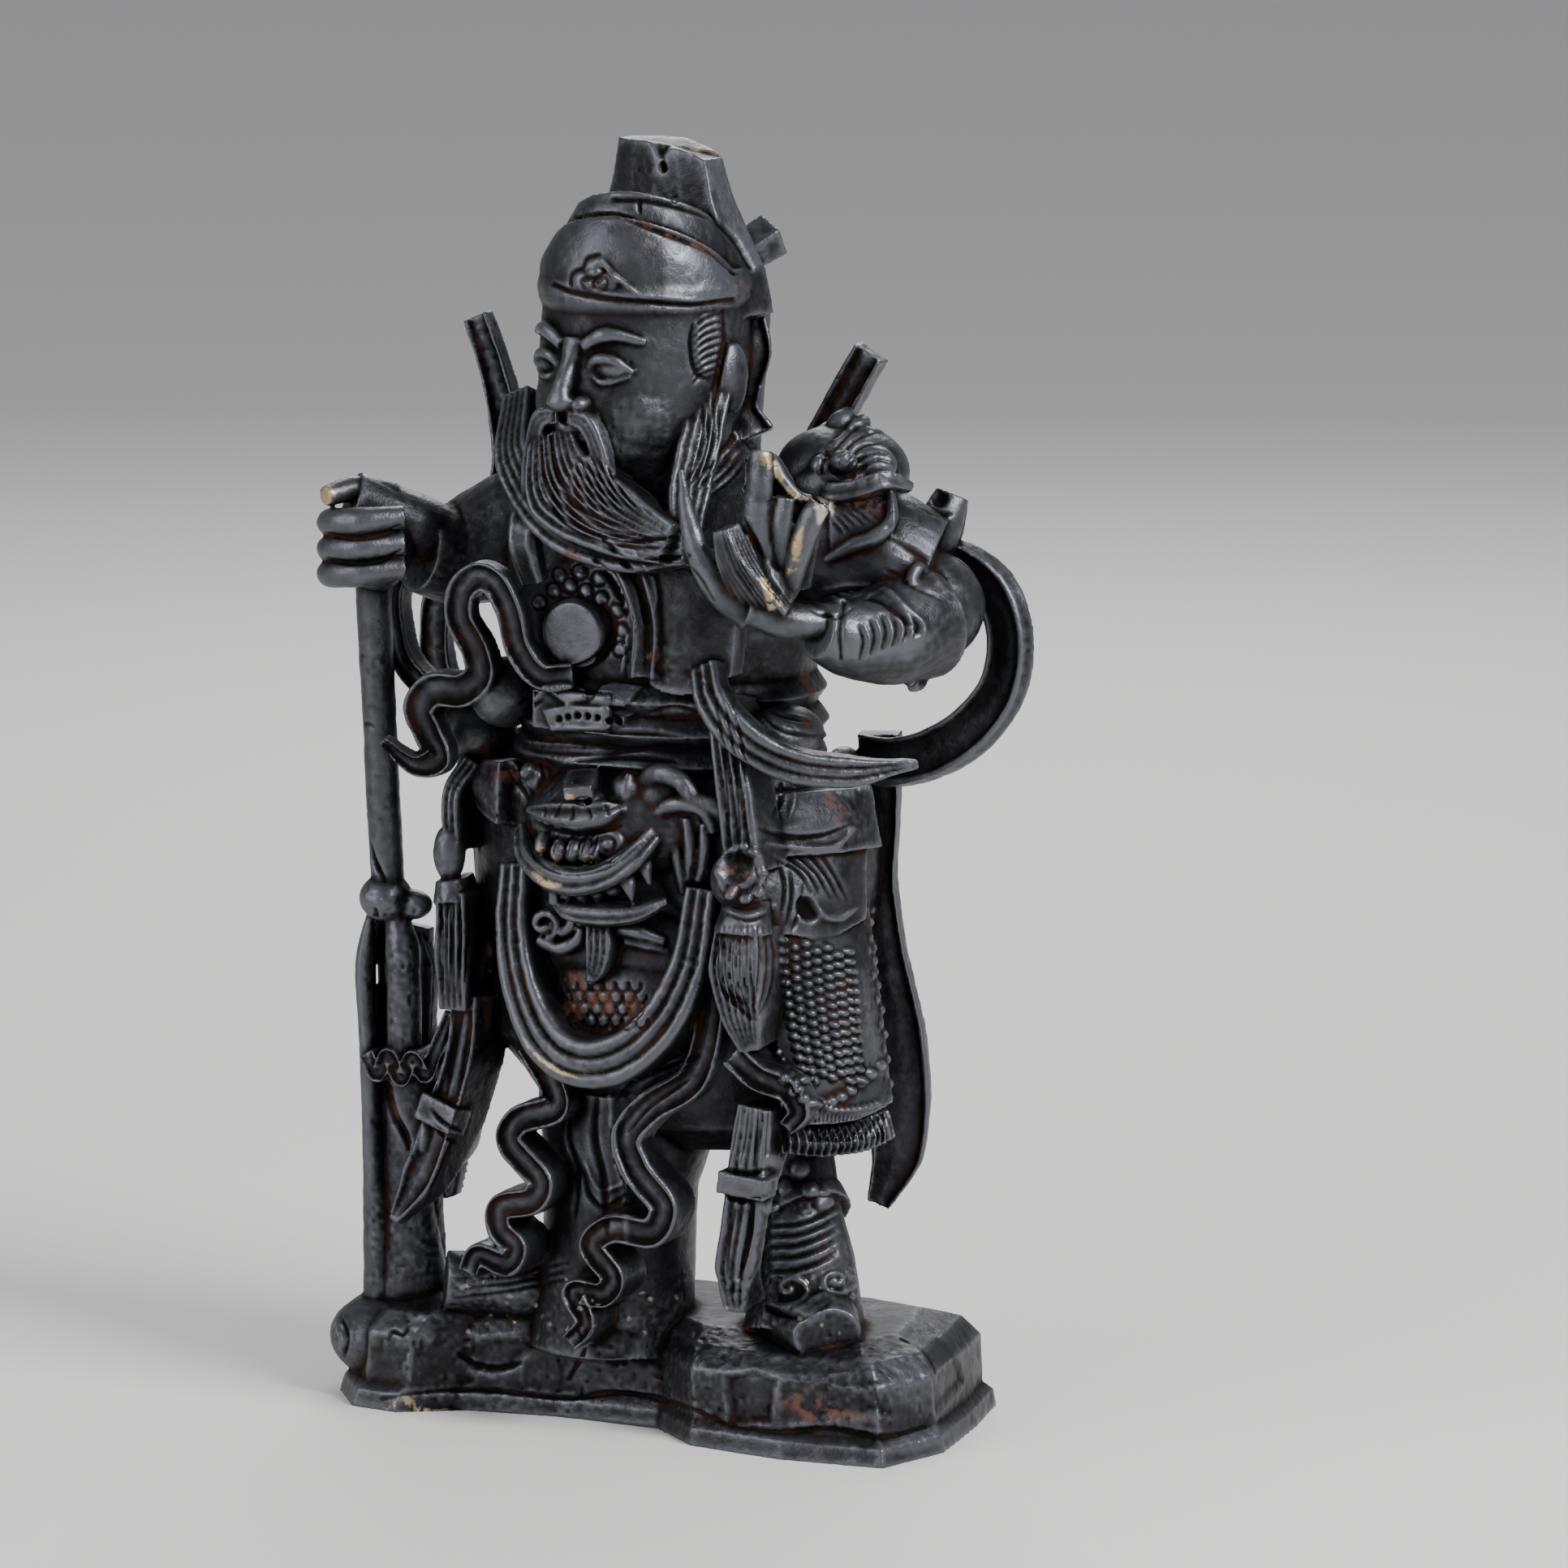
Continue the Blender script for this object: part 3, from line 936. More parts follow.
def triangle_mesh(name, points, faces):
    """Mesh object of triangles."""
    mesh = bpy.data.meshes.new(name)
    mesh.vertices.add(len(points))
    mesh.vertices.foreach_set("co", points.astype(np.float32).ravel())
    mesh.loops.add(faces.size)
    mesh.loops.foreach_set("vertex_index", faces.astype(np.int32).ravel())
    mesh.polygons.add(len(faces))
    mesh.polygons.foreach_set("loop_start", np.arange(0, faces.size, 3, dtype=np.int32))
    mesh.update(calc_edges=True)
    piece = bpy.data.objects.new(name, mesh)
    bpy.context.collection.objects.link(piece)
    return piece


class Drawing:
    """A sheet held up before the casting. Lines and spots are drawn on it in its own units, in
    layers, and the skin that faces it and that nothing hides takes them over."""

    def __init__(self, low, high, step, per_mm):
        self.low, self.step, self.per_mm = np.asarray(low, float), step, per_mm
        self.shape = tuple(int(n) for n in np.ceil((np.asarray(high) - self.low) / step))
        self.layers = {}

    def _window(self, x, y, margin):
        first = np.maximum(((np.array([x.min(), y.min()]) - margin - self.low) / self.step).astype(int), 0)
        last = np.minimum(((np.array([x.max(), y.max()]) + margin - self.low) / self.step).astype(int) + 1,
            self.shape)
        if (last <= first).any():
            return None, None, None
        window = tuple(slice(a, b) for a, b in zip(first, last))
        gx = self.low[0] + (np.arange(first[0], last[0]) + 0.5) * self.step
        gy = self.low[1] + (np.arange(first[1], last[1]) + 0.5) * self.step
        return window, gx[:, None], gy[None, :]

    def layer(self, name):
        return self.layers.setdefault(name, np.zeros(self.shape, np.float32))

    def line(self, name, amount, width, *places, ends=(0.35, 0.35)):
        """Smooth line through places. Across it the amount falls as a bell of its distance over
        the width; towards its ends it thins to the shares given."""
        path = curve([(*p, 0.0) for p in places], np.linspace(0, 1, 24 * len(places)))[:, :2]
        window, gx, gy = self._window(path[:, 0], path[:, 1], 2.5 * width)
        if window is None:
            return
        best = np.full((gx.size, gy.size), 1e9)
        share = np.zeros_like(best)
        gone = np.concatenate([[0], np.cumsum(np.linalg.norm(np.diff(path, axis=0), axis=1))])
        for k in range(len(path) - 1):
            d = path[k + 1] - path[k]
            t = np.clip(((gx - path[k, 0]) * d[0] + (gy - path[k, 1]) * d[1]) / max(d @ d, 1e-9), 0, 1)
            r = (gx - path[k, 0] - t * d[0]) ** 2 + (gy - path[k, 1] - t * d[1]) ** 2
            closer = r < best
            best[closer] = r[closer]
            share[closer] = (gone[k] + t * (gone[k + 1] - gone[k]))[closer] / gone[-1]
        swell = ends[0] + (1 - ends[0]) * np.clip(share / 0.3, 0, 1)
        swell = np.minimum(swell, ends[1] + (1 - ends[1]) * np.clip((1 - share) / 0.3, 0, 1))
        self._lay(name, window, amount * swell * np.exp(-best / (width * (0.5 + 0.5 * swell)) ** 2))

    def spot(self, name, amount, radius, x, y, flat=1.0, turn=0.0):
        """Round or oval spot: a dome that falls as the square of the distance over the radius."""
        reach = radius * max(1, 1 / flat)
        window, gx, gy = self._window(np.array([x]), np.array([y]), reach)
        if window is None:
            return
        c, w = np.cos(np.radians(turn)), np.sin(np.radians(turn))
        u, v = (gx - x) * c + (gy - y) * w, ((gy - y) * c - (gx - x) * w) / flat
        self._lay(name, window, amount * np.clip(1 - (u * u + v * v) / radius**2, 0, 1) ** 0.7)

    def patch(self, name, amount, *corners, soft=2.0):
        """Area inside straight sides, whose amount rises over a soft edge."""
        ring = np.asarray(corners, float)
        window, gx, gy = self._window(ring[:, 0], ring[:, 1], soft)
        if window is None:
            return
        inside = np.zeros((gx.size, gy.size), bool)
        best = np.full(inside.shape, 1e9)
        for p, q in zip(ring, np.roll(ring, -1, axis=0)):
            d = q - p
            rise = (p[1] > gy) != (q[1] > gy)
            inside ^= rise & (gx < d[0] * (gy - p[1]) / (d[1] if d[1] else 1e-9) + p[0])
            t = np.clip(((gx - p[0]) * d[0] + (gy - p[1]) * d[1]) / max(d @ d, 1e-9), 0, 1)
            best = np.minimum(best, np.hypot(gx - p[0] - t * d[0], gy - p[1] - t * d[1]))
        self._lay(name, window, amount * np.clip(0.5 + np.where(inside, best, -best) / (2 * soft), 0, 1))

    def _lay(self, name, window, amount):
        self.layer(name)[window] += amount.astype(np.float32)

    def comb(self, name, amount, width, first, last, count, **more):
        """Lines spread between a first and a last line that have as many places."""
        for share in np.linspace(0, 1, count):
            self.line(name, amount, width, *(np.array(first) + (np.array(last) - first) * share), **more)

    def taken(self, name, x, y):
        """The layer's amounts at points of the sheet, blended between its cells."""
        sheet = self.layer(name)
        u = np.clip((x - self.low[0]) / self.step - 0.5, 0, self.shape[0] - 1.001)
        v = np.clip((y - self.low[1]) / self.step - 0.5, 0, self.shape[1] - 1.001)
        i, j = u.astype(int), v.astype(int)
        f, g = u - i, v - j
        low = sheet[i, j] * (1 - f) + sheet[i + 1, j] * f
        high = sheet[i, j + 1] * (1 - f) + sheet[i + 1, j + 1] * f
        return low * (1 - g) + high * g

    def facing(self, x, y, depth, turned_to):
        """Share of each point that faces the sheet with nothing nearer in its cell of 0.6 mm. Skin
        that slants away is left out before its own slope within a cell could hide it."""
        cell = 0.6 * self.per_mm
        i = ((x - self.low[0]) / cell).astype(int)
        j = ((y - self.low[1]) / cell).astype(int)
        size = (np.ceil(np.array(self.shape) * self.step / cell)).astype(int) + 2
        key = np.clip(i, 0, size[0] - 1) * size[1] + np.clip(j, 0, size[1] - 1)
        nearest = np.full(size.prod(), 1e9)
        np.minimum.at(nearest, key, depth)
        share = np.clip((turned_to - 0.28) / 0.2, 0, 1)
        return share * np.clip(3.4 - (depth - nearest[key]), 0, 1)


def from_the_picture(points, normals):
    """Where points stand in the picture, how far off they are and how far they face it."""
    away = points - EYE
    depth = away @ AHEAD
    facing = -(normals * unit(away)).sum(1)
    half = PICTURE / 2
    return half + FOCUS * (away @ RIGHT) / depth, half - FOCUS * (away @ UP) / depth, depth, facing


def draw_hat(d):
    """Joints between the bands, cloud ornament, slot, pit, and the polished facet"""
    d.line("relief", -0.7, 3, (682, 350), (700, 358), (740, 367), (800, 373), (850, 377), (902, 370),
        ends=(1, 1))
    d.line("relief", 0.3, 2.4, (705, 352), (760, 363), (820, 367), (860, 370), (900, 363))
    d.line("relief", -0.7, 3, (703, 270), (724, 266), (762, 266), (802, 281), (842, 295), (874, 309),
        (906, 336), ends=(1, 1))
    d.line("relief", -0.6, 3, (757, 246), (800, 247), (845, 257), (880, 272), (905, 296), (925, 330),
        ends=(1, 1))
    for x, y, r in ((716, 345, 11), (732, 330, 12), (751, 346, 12), (735, 345, 15)):
        d.spot("relief", 0.75, r, x, y)
    d.line("relief", 0.8, 3.2, (738, 319), (750, 332), (764, 345), (788, 364), ends=(0.8, 0.1))
    d.line("relief", -0.4, 2, (703, 352), (706, 336), (718, 330), (724, 318), (738, 314), ends=(1, 1))
    for x in (727, 741):
        d.spot("relief", 1.1, 7, x, 350)
        d.line("relief", -0.3, 1.6, (x - 8, 354), (x - 6, 343), (x, 340), (x + 7, 343), (x + 8, 354))
    d.line("relief", -0.8, 2.4, (788, 246), (789, 262))
    d.spot("relief", -1.4, 7, 817, 206, flat=0.6, turn=80)
    d.spot("relief", -0.7, 4, 832, 246)
    d.line("relief", -0.25, 1.4, (812, 170), (816, 192), (818, 200))
    d.patch("worn", 0.85, (820, 302), (880, 312), (905, 340), (905, 364), (820, 368), soft=4)
    d.patch("worn", 0.8, (864, 196), (886, 180), (934, 262), (948, 320), (925, 335), (905, 290), (890, 266),
        soft=3)
    d.patch("worn", 0.5, (690, 300), (720, 270), (800, 300), (815, 360), (700, 350), soft=12)
    d.line("worn", 0.8, 3, (762, 172), (790, 166), (812, 170))
    d.line("brassy", 1, 4, (852, 186), (866, 180), (884, 186), ends=(1, 1))
    d.line("earth", 0.9, 3, (745, 265), (775, 269), (808, 282), (850, 297), (880, 312))
    d.line("earth", 0.9, 3, (890, 345), (902, 352), (918, 345))


def draw_hair(d):
    """Sidelock, whiskers, moustache and beard as chased strands"""
    d.patch("relief", 0.5, (856, 402), (868, 388), (884, 384), (888, 420), (880, 458), (866, 462),
        (856, 440), soft=3)
    for k in range(8):
        y = 392 + 9.5 * k
        d.line("relief", -0.5, 1.6, (854, y + 14), (866, y + 2), (886, y - 6), ends=(0.4, 0.8))
    d.line("relief", -0.6, 2.4, (853, 400), (851, 425), (860, 462), (874, 468))
    d.line("relief", -0.6, 3, (891, 384), (893, 420), (884, 468), (878, 500))
    d.comb("relief", -0.38, 1.7, [(866, 500), (866, 540), (856, 575), (846, 592)],
        [(886, 500), (884, 545), (872, 585), (858, 606)], 4)
    d.comb("relief", -0.35, 1.6, [(905, 540), (885, 562), (862, 585)], [(925, 560), (900, 590), (872, 612)],
        4)
    d.comb("relief", -0.42, 1.7, [(690, 560), (706, 600), (735, 636), (775, 652)],
        [(744, 566), (762, 600), (780, 622), (800, 640)], 8)
    d.comb("relief", 0.25, 1.4, [(694, 560), (711, 600), (740, 633), (780, 649)],
        [(748, 566), (766, 600), (784, 620), (802, 637)], 8)
    d.comb("relief", -0.5, 1.8, [(676, 520), (680, 572), (704, 620), (745, 650), (800, 662)],
        [(662, 560), (668, 600), (700, 648), (745, 668), (835, 676)], 4)
    d.line("relief", -0.7, 2.6, (682, 508), (678, 545), (690, 590), (712, 622), (740, 645), ends=(0.9, 0.4))
    d.line("relief", -0.6, 2.2, (770, 668), (800, 664), (840, 662))
    d.line("relief", -0.8, 3, (786, 690), (815, 688), (850, 684))
    d.line("worn", 0.6, 3, (744, 512), (762, 550), (776, 596))
    d.patch("worn", 0.35, (760, 400), (850, 400), (850, 500), (770, 560), soft=14)


def ring_line(d, name, amount, width, x, y, radius, flat=1.0):
    """A round line"""
    turn = np.linspace(0, 2 * np.pi, 10)
    d.line(name, amount, width, *zip(x + radius * np.cos(turn), y + radius * flat * np.sin(turn)),
        ends=(1, 1))


def draw_chest(d):
    """Scales round the boss, lapel, cut strap, plates, dotted plaque and belt"""
    for x, y in ((664, 742), (682, 727), (702, 721), (722, 727), (741, 737), (760, 752), (766, 776),
        (764, 800), (690, 708),
                 (714, 704), (738, 712)):
        d.spot("relief", 0.45, 9, x, y)
        ring_line(d, "relief", -0.35, 1.6, x, y, 9)
    d.line("relief", -0.9, 4.5, (742, 742), (755, 765), (752, 792), (736, 812), (712, 822), ends=(0.6, 0.6))
    d.line("relief", -0.9, 3.4, (733, 690), (752, 715), (768, 742), (777, 764), ends=(0.7, 0.7))
    d.line("relief", -0.8, 3.2, (742, 664), (770, 694), (790, 730), (797, 766), ends=(0.9, 0.7))
    d.line("relief", 0.5, 2.6, (775, 766), (772, 795), (766, 828))
    d.line("relief", -0.8, 3, (783, 776), (778, 806), (772, 835))
    d.line("relief", 0.5, 3, (782, 680), (800, 705), (808, 738), (806, 752))
    d.patch("worn", 0.6, (734, 657), (752, 664), (768, 682), (762, 686), (740, 668), soft=2)
    d.patch("worn", 0.8, (632, 650), (646, 640), (664, 655), (650, 660), soft=2)
    d.patch("worn", 0.8, (676, 752), (706, 741), (738, 756), (740, 780), (722, 808), (694, 814), (673, 790),
        soft=4)
    d.patch("relief", 0.6, (668, 846), (690, 841), (722, 850), (722, 862), (700, 869), soft=2)
    d.patch("relief", 0.7, (728, 866), (742, 846), (758, 841), (792, 846), (770, 870), soft=2)
    d.patch("worn", 0.5, (733, 862), (756, 842), (788, 848), (770, 868), soft=2)
    d.patch("relief", 0.55, (668, 874), (700, 868), (745, 870), (780, 880), (763, 894), (745, 900),
        (680, 900), soft=2)
    for x, y in ((690, 885), (701, 883), (713, 881), (725, 882), (737, 884), (750, 888), (763, 889)):
        d.spot("relief", -1.1, 4.4, x, y)
    d.line("relief", 0.4, 3, (678, 898), (705, 896), (745, 900))
    d.line("relief", -0.6, 3, (672, 906), (705, 904), (740, 903), (800, 903), (842, 908))
    d.line("relief", 0.4, 2, (620, 905), (645, 913), (690, 917), (735, 920))
    d.line("relief", -0.4, 2.4, (626, 918), (680, 926), (740, 928), (800, 922), (850, 918))
    d.line("relief", -0.7, 3.4, (700, 938), (760, 932), (800, 934), (832, 938))
    d.line("relief", -0.5, 2.4, (800, 878), (835, 872), (862, 880))
    d.patch("worn", 0.4, (668, 928), (740, 924), (745, 940), (660, 942), soft=4)
    for x, y in ((655, 856), (658, 868), (648, 862)):
        d.line("relief", -0.5, 2, (x - 8, y + 6), (x, y), (x + 10, y - 6))
    d.line("relief", -0.4, 2, (810, 690), (850, 700), (880, 740))
    d.patch("pitted", 1, (790, 790), (870, 800), (860, 880), (780, 880), soft=12)
    d.spot("earth", 0.9, 20, 700, 690)
    d.spot("earth", 0.9, 14, 800, 808)
    d.patch("earth", 0.8, (560, 905), (612, 915), (640, 960), (600, 960), soft=8)


def draw_mask(d):
    """Brow lines, cracked lip, lines between the teeth, inner edge of the jaw, and scales of the apron"""
    d.line("relief", -0.8, 3.6, (668, 942), (672, 956), (664, 972))
    d.line("relief", 0.5, 2.6, (622, 930), (636, 944), (646, 962))
    d.line("relief", -0.5, 2.2, (628, 950), (642, 970), (655, 996))
    for x0, y0, x1, y1 in ((690, 986, 684, 1006), (706, 994, 702, 1016), (724, 994, 728, 1014),
        (744, 990, 750, 1008), (672, 994, 668, 1008)):
        d.line("relief", -0.35, 1.4, (x0, y0), ((x0 + x1) / 2 + 2, (y0 + y1) / 2), (x1, y1))
    d.spot("relief", -1.6, 11, 719, 987, flat=0.5)
    d.line("relief", -0.8, 3, (655, 1010), (690, 1024), (725, 1026), (765, 1018))
    for x in (679, 697, 714, 729):
        d.line("relief", -0.7, 2, (x + 8, 1030), (x + 2, 1044), (x - 1, 1058))
    d.line("relief", -0.7, 2.6, (684, 1062), (705, 1068), (738, 1062))
    d.line("relief", -0.6, 3, (738, 1044), (742, 1056), (756, 1060), (768, 1046))
    d.line("relief", -0.4, 2.2, (650, 1030), (662, 1060), (700, 1078), (750, 1070), (790, 1040))
    d.line("brassy", 1, 5, (660, 1078), (672, 1088), (690, 1090), ends=(1, 0.5))
    for x, y in ((667, 1046), (686, 1056), (702, 981), (724, 1060)):
        d.spot("brassy", 1.1, 7, x, y)
    d.line("worn", 0.8, 5, (640, 1030), (648, 1060), (665, 1082))
    d.patch("worn", 0.5, (642, 1020), (660, 1020), (680, 1074), (740, 1076), (780, 1050), (790, 1060),
        (750, 1090), (690, 1092), soft=4)
    d.patch("worn", 0.6, (880, 990), (896, 1000), (900, 1020), (885, 1010), soft=3)
    d.patch("worn", 0.6, (768, 952), (782, 950), (772, 1000), (766, 1000), soft=2)
    for row in range(4):
        for k in range(6):
            x, y = 702 + 16 * k + 8 * (row % 2), 1216 + 15 * row
            d.line("relief", -0.4, 1.8, (x - 8, y - 4), (x - 5, y + 4), (x + 1, y + 7), (x + 7, y + 3),
                (x + 8, y - 4), ends=(1, 1))
    d.patch("earth", 0.8, (690, 1180), (730, 1215), (800, 1230), (830, 1190), (790, 1260), (700, 1250),
        soft=10)


def draw_scarf(d):
    """Fold lines of the ribbons and tails that the swept sections don't carry"""
    d.line("worn", 0.8, 5, (612, 1100), (618, 1180), (640, 1260), (680, 1305), (740, 1325), (800, 1305))
    d.line("worn", 0.5, 4, (646, 1120), (652, 1190), (680, 1250), (720, 1276))
    d.line("brassy", 0.9, 2.6, (643, 1278), (660, 1300), (690, 1320), (712, 1328), ends=(0.3, 0.3))
    for places in (
        ((560, 720), (572, 705), (600, 706)), ((640, 1372), (655, 1364), (678, 1366)), ((612, 1478),
            (632, 1462), (655, 1462)),
        ((715, 1590), (722, 1576), (740, 1572)), ((730, 1505), (760, 1506), (790, 1508)), ((480, 745),
            (478, 790), (488, 830)),
        ((520, 842), (545, 838), (572, 838)), ((474, 914), (490, 918), (510, 930)),
    ):
        d.line("worn", 0.8, 5, *places)


def draw_robe(d):
    """Folds of the robe over the legs, at the sides and in the sleeves"""
    d.line("relief", -0.5, 4, (770, 1350), (790, 1330), (830, 1315), (860, 1300))
    d.comb("relief", -0.45, 2.4, [(760, 1355), (790, 1325), (850, 1296)],
        [(775, 1395), (800, 1365), (850, 1330)], 3)
    d.line("relief", -0.6, 4, (735, 1345), (732, 1400), (745, 1460), (748, 1520))
    d.line("relief", 0.4, 5, (752, 1345), (756, 1400), (768, 1460), (772, 1530))
    d.line("relief", -0.5, 3, (705, 1345), (700, 1400), (712, 1440), (708, 1500))
    d.line("relief", -0.5, 3, (716, 1440), (728, 1475), (745, 1488), (775, 1470))
    d.line("relief", 0.4, 3, (720, 1432), (740, 1466), (775, 1456))
    d.comb("relief", -0.35, 2, [(560, 1575), (620, 1572), (700, 1555)],
        [(560, 1600), (620, 1592), (700, 1575)], 3)
    d.comb("relief", -0.4, 2.4, [(928, 860), (960, 880), (1000, 890)], [(935, 890), (975, 920), (1030, 925)],
        3)
    d.line("relief", -0.5, 3, (1000, 925), (1030, 895), (1060, 872))
    d.line("relief", -0.6, 2.6, (962, 958), (962, 985), (952, 1004))
    d.line("relief", 0.4, 4, (976, 960), (978, 985), (972, 1010))
    d.line("relief", -0.7, 3.6, (938, 1022), (975, 1032), (1012, 1030), (1044, 1018))
    d.line("relief", 0.5, 3, (945, 1038), (985, 1044), (1030, 1042), (1052, 1020))
    d.comb("relief", -0.4, 2.2, [(950, 1055), (985, 1075), (1000, 1100)],
        [(1010, 1050), (1030, 1080), (1045, 1110)], 5)
    d.line("relief", 0.5, 3, (1000, 1106), (1015, 1128), (1035, 1132), (1056, 1118))
    d.spot("relief", -1.6, 18, 995, 1120, flat=0.7, turn=60)
    d.line("worn", 0.6, 4, (945, 1040), (985, 1046), (1030, 1044), (1052, 1022))
    d.line("worn", 0.7, 4, (1002, 1108), (1018, 1130), (1056, 1120))
    d.patch("worn", 0.35, (940, 960), (1040, 960), (1040, 1020), (950, 1020), soft=10)
    d.patch("earth", 0.9, (1018, 975), (1040, 990), (1044, 1015), (1020, 1010), soft=6)
    d.patch("earth", 1, (985, 830), (1015, 825), (1030, 850), (1000, 870), soft=5)
    d.spot("earth", 0.9, 14, 998, 892)
    d.spot("earth", 0.8, 22, 905, 1078)
    d.patch("earth", 0.8, (590, 1180), (605, 1150), (612, 1230), (600, 1270), soft=5)
    d.patch("earth", 0.9, (755, 1488), (785, 1484), (790, 1498), (760, 1500), soft=3)


def draw_arm(d):
    """Ribs of the forearm guard, folds of the sleeve, grain of the beast and scratches of the plate"""
    for x, top, low in ((1062, 770, 812), (1076, 762, 806), (1090, 758, 800), (1103, 756, 796),
        (1116, 758, 790), (1130, 764, 784)):
        d.line("relief", -0.5, 2.2, (x - 4, top), (x + 2, (top + low) / 2), (x - 3, low), ends=(0.5, 0.5))
        d.line("relief", 0.35, 2, (x + 3, top), (x + 9, (top + low) / 2), (x + 4, low), ends=(0.5, 0.5))
    d.line("relief", -0.6, 3, (1040, 742), (1036, 775), (1036, 812), ends=(0.7, 0.7))
    d.line("relief", -0.4, 2.4, (1000, 752), (1030, 760), (1050, 750))
    d.line("relief", 0.5, 4, (1010, 728), (1050, 720), (1088, 726), (1120, 752), (1140, 768))
    d.line("relief", -0.7, 4, (1014, 736), (1052, 732), (1086, 740), (1116, 764), (1134, 782))
    d.line("relief", -0.4, 4, (1096, 664), (1140, 690), (1165, 712))
    d.line("relief", -0.4, 4, (1090, 700), (1125, 722), (1160, 738))
    d.line("relief", 0.4, 5, (1100, 684), (1140, 704), (1168, 728))
    d.line("relief", -0.6, 3, (1136, 622), (1150, 632), (1172, 634))
    d.line("relief", 0.6, 2.6, (1098, 606), (1100, 634), (1098, 662))
    d.spot("relief", -1.2, 12, 1158, 614)
    d.comb("relief", -0.28, 1.5, [(1024, 640), (1040, 660)], [(1060, 622), (1082, 640)], 6)
    d.line("relief", -0.6, 3, (1018, 556), (1012, 580), ends=(0.9, 0.9))
    d.line("relief", -0.5, 2.4, (1026, 582), (1046, 590), (1064, 580))
    d.comb("relief", -0.5, 2.4, [(1020, 548), (1045, 520), (1058, 508)],
        [(1050, 586), (1080, 566), (1104, 572)], 6)
    d.patch("pitted", 1, (1000, 520), (1110, 500), (1120, 600), (1000, 600), soft=10)
    d.patch("worn", 0.6, (1045, 505), (1080, 535), (1100, 580), (1060, 580), (1030, 540), soft=8)
    d.patch("earth", 1.1, (1030, 610), (1062, 604), (1094, 608), (1094, 618), (1068, 640), (1050, 630),
        soft=3)
    d.patch("worn", 0.8, (1000, 744), (1060, 748), (1150, 780), (1120, 812), (1040, 812), (1000, 800), soft=8)
    d.patch("worn", 0.6, (1095, 660), (1130, 690), (1160, 740), (1130, 750), (1090, 710), soft=8)
    d.comb("relief", -0.3, 1.5, [(888, 655), (905, 700), (938, 748)], [(914, 652), (940, 700), (975, 745)], 8)
    d.line("relief", -0.7, 3, (916, 640), (932, 672), (950, 712), (962, 730))
    d.patch("worn", 0.5, (915, 620), (985, 620), (985, 690), (960, 720), (930, 680), soft=6)
    d.patch("brassy", 0.9, (936, 712), (950, 712), (964, 745), (948, 752), soft=3)
    d.patch("brassy", 1, (936, 556), (952, 560), (952, 574), (938, 576), soft=3)
    d.line("brassy", 1, 3.4, (950, 566), (964, 594), (984, 612), (1000, 614), ends=(0.5, 0.5))
    d.patch("brassy", 0.8, (978, 660), (990, 650), (984, 700), (970, 706), soft=3)
    d.patch("pale", 1.2, (1004, 614), (1024, 612), (1026, 632), (1008, 646), soft=3)
    d.spot("relief", 0.5, 8, 1014, 624)


def draw_strap_loop(d):
    """Ridges along the big scarf loop"""
    d.line("worn", 0.9, 3.5, (1210, 684), (1240, 705), (1265, 745), (1276, 790), (1272, 850), (1250, 905))
    d.line("worn", 0.4, 3, (1200, 715), (1230, 740), (1248, 790), (1240, 850))


def draw_thigh_guard(d):
    """Rows of small scales, their border, pearls and pleats"""
    for row in range(14):
        for k in range(7):
            share = row / 13
            left, right = 966 + 26 * share**2, 1046 + 14 * share
            x = left + (right - left) * k / 6
            y = 1158 + 13.2 * row + 2.5 * k * (1 - share) - 9 * share * np.sin(np.pi * k / 6)
            y += 6.5 * (k % 2)
            if y > 1352 - 3 * abs(k - 3):
                continue
            d.spot("relief", 0.75, 7.4, x, y, flat=0.72, turn=20)
            d.line("relief", -0.35, 1.7, (x - 7, y + 2), (x, y + 7), (x + 7, y + 2))
    d.line("relief", 0.5, 9, (1058, 1200), (1066, 1240), (1076, 1290), (1084, 1318), ends=(0.8, 0.9))
    d.line("relief", -0.5, 2.2, (1048, 1196), (1052, 1240), (1060, 1290), (1068, 1325))
    for share in np.linspace(0, 1, 11):
        x = 962 + 118 * share
        d.spot("relief", 0.9, 7, x + 4,
            1318 + 44 * np.sin(np.pi * min(share * 0.95 + 0.05, 1) ** 0.8) - 6 * share)
    for share in np.linspace(0, 1, 12):
        x = 1000 + 80 * share
        d.spot("relief", 0.8, 4.6, x, 1368 - 8 * (2 * share - 1) ** 2)
    for share in np.linspace(0, 1, 18):
        x = 1000 + 86 * share
        d.line("relief", -0.6, 1.9, (x, 1376 - 6 * (2 * share - 1) ** 2), (x + 1, 1390),
            (x + 3 * (share - 0.5), 1404), ends=(0.6, 1))
    for k in range(7):
        d.spot("relief", 0.6, 4.5, 953 + 5.5 * k, 1288 + 9 * k)
    d.patch("worn", 0.45, (965, 1150), (1045, 1150), (1085, 1320), (1080, 1400), (1010, 1400), (975, 1300),
        soft=8)
    d.comb("relief", -0.4, 2, [(958, 1060), (966, 1090), (962, 1130)],
        [(990, 1090), (985, 1120), (975, 1150)], 3)


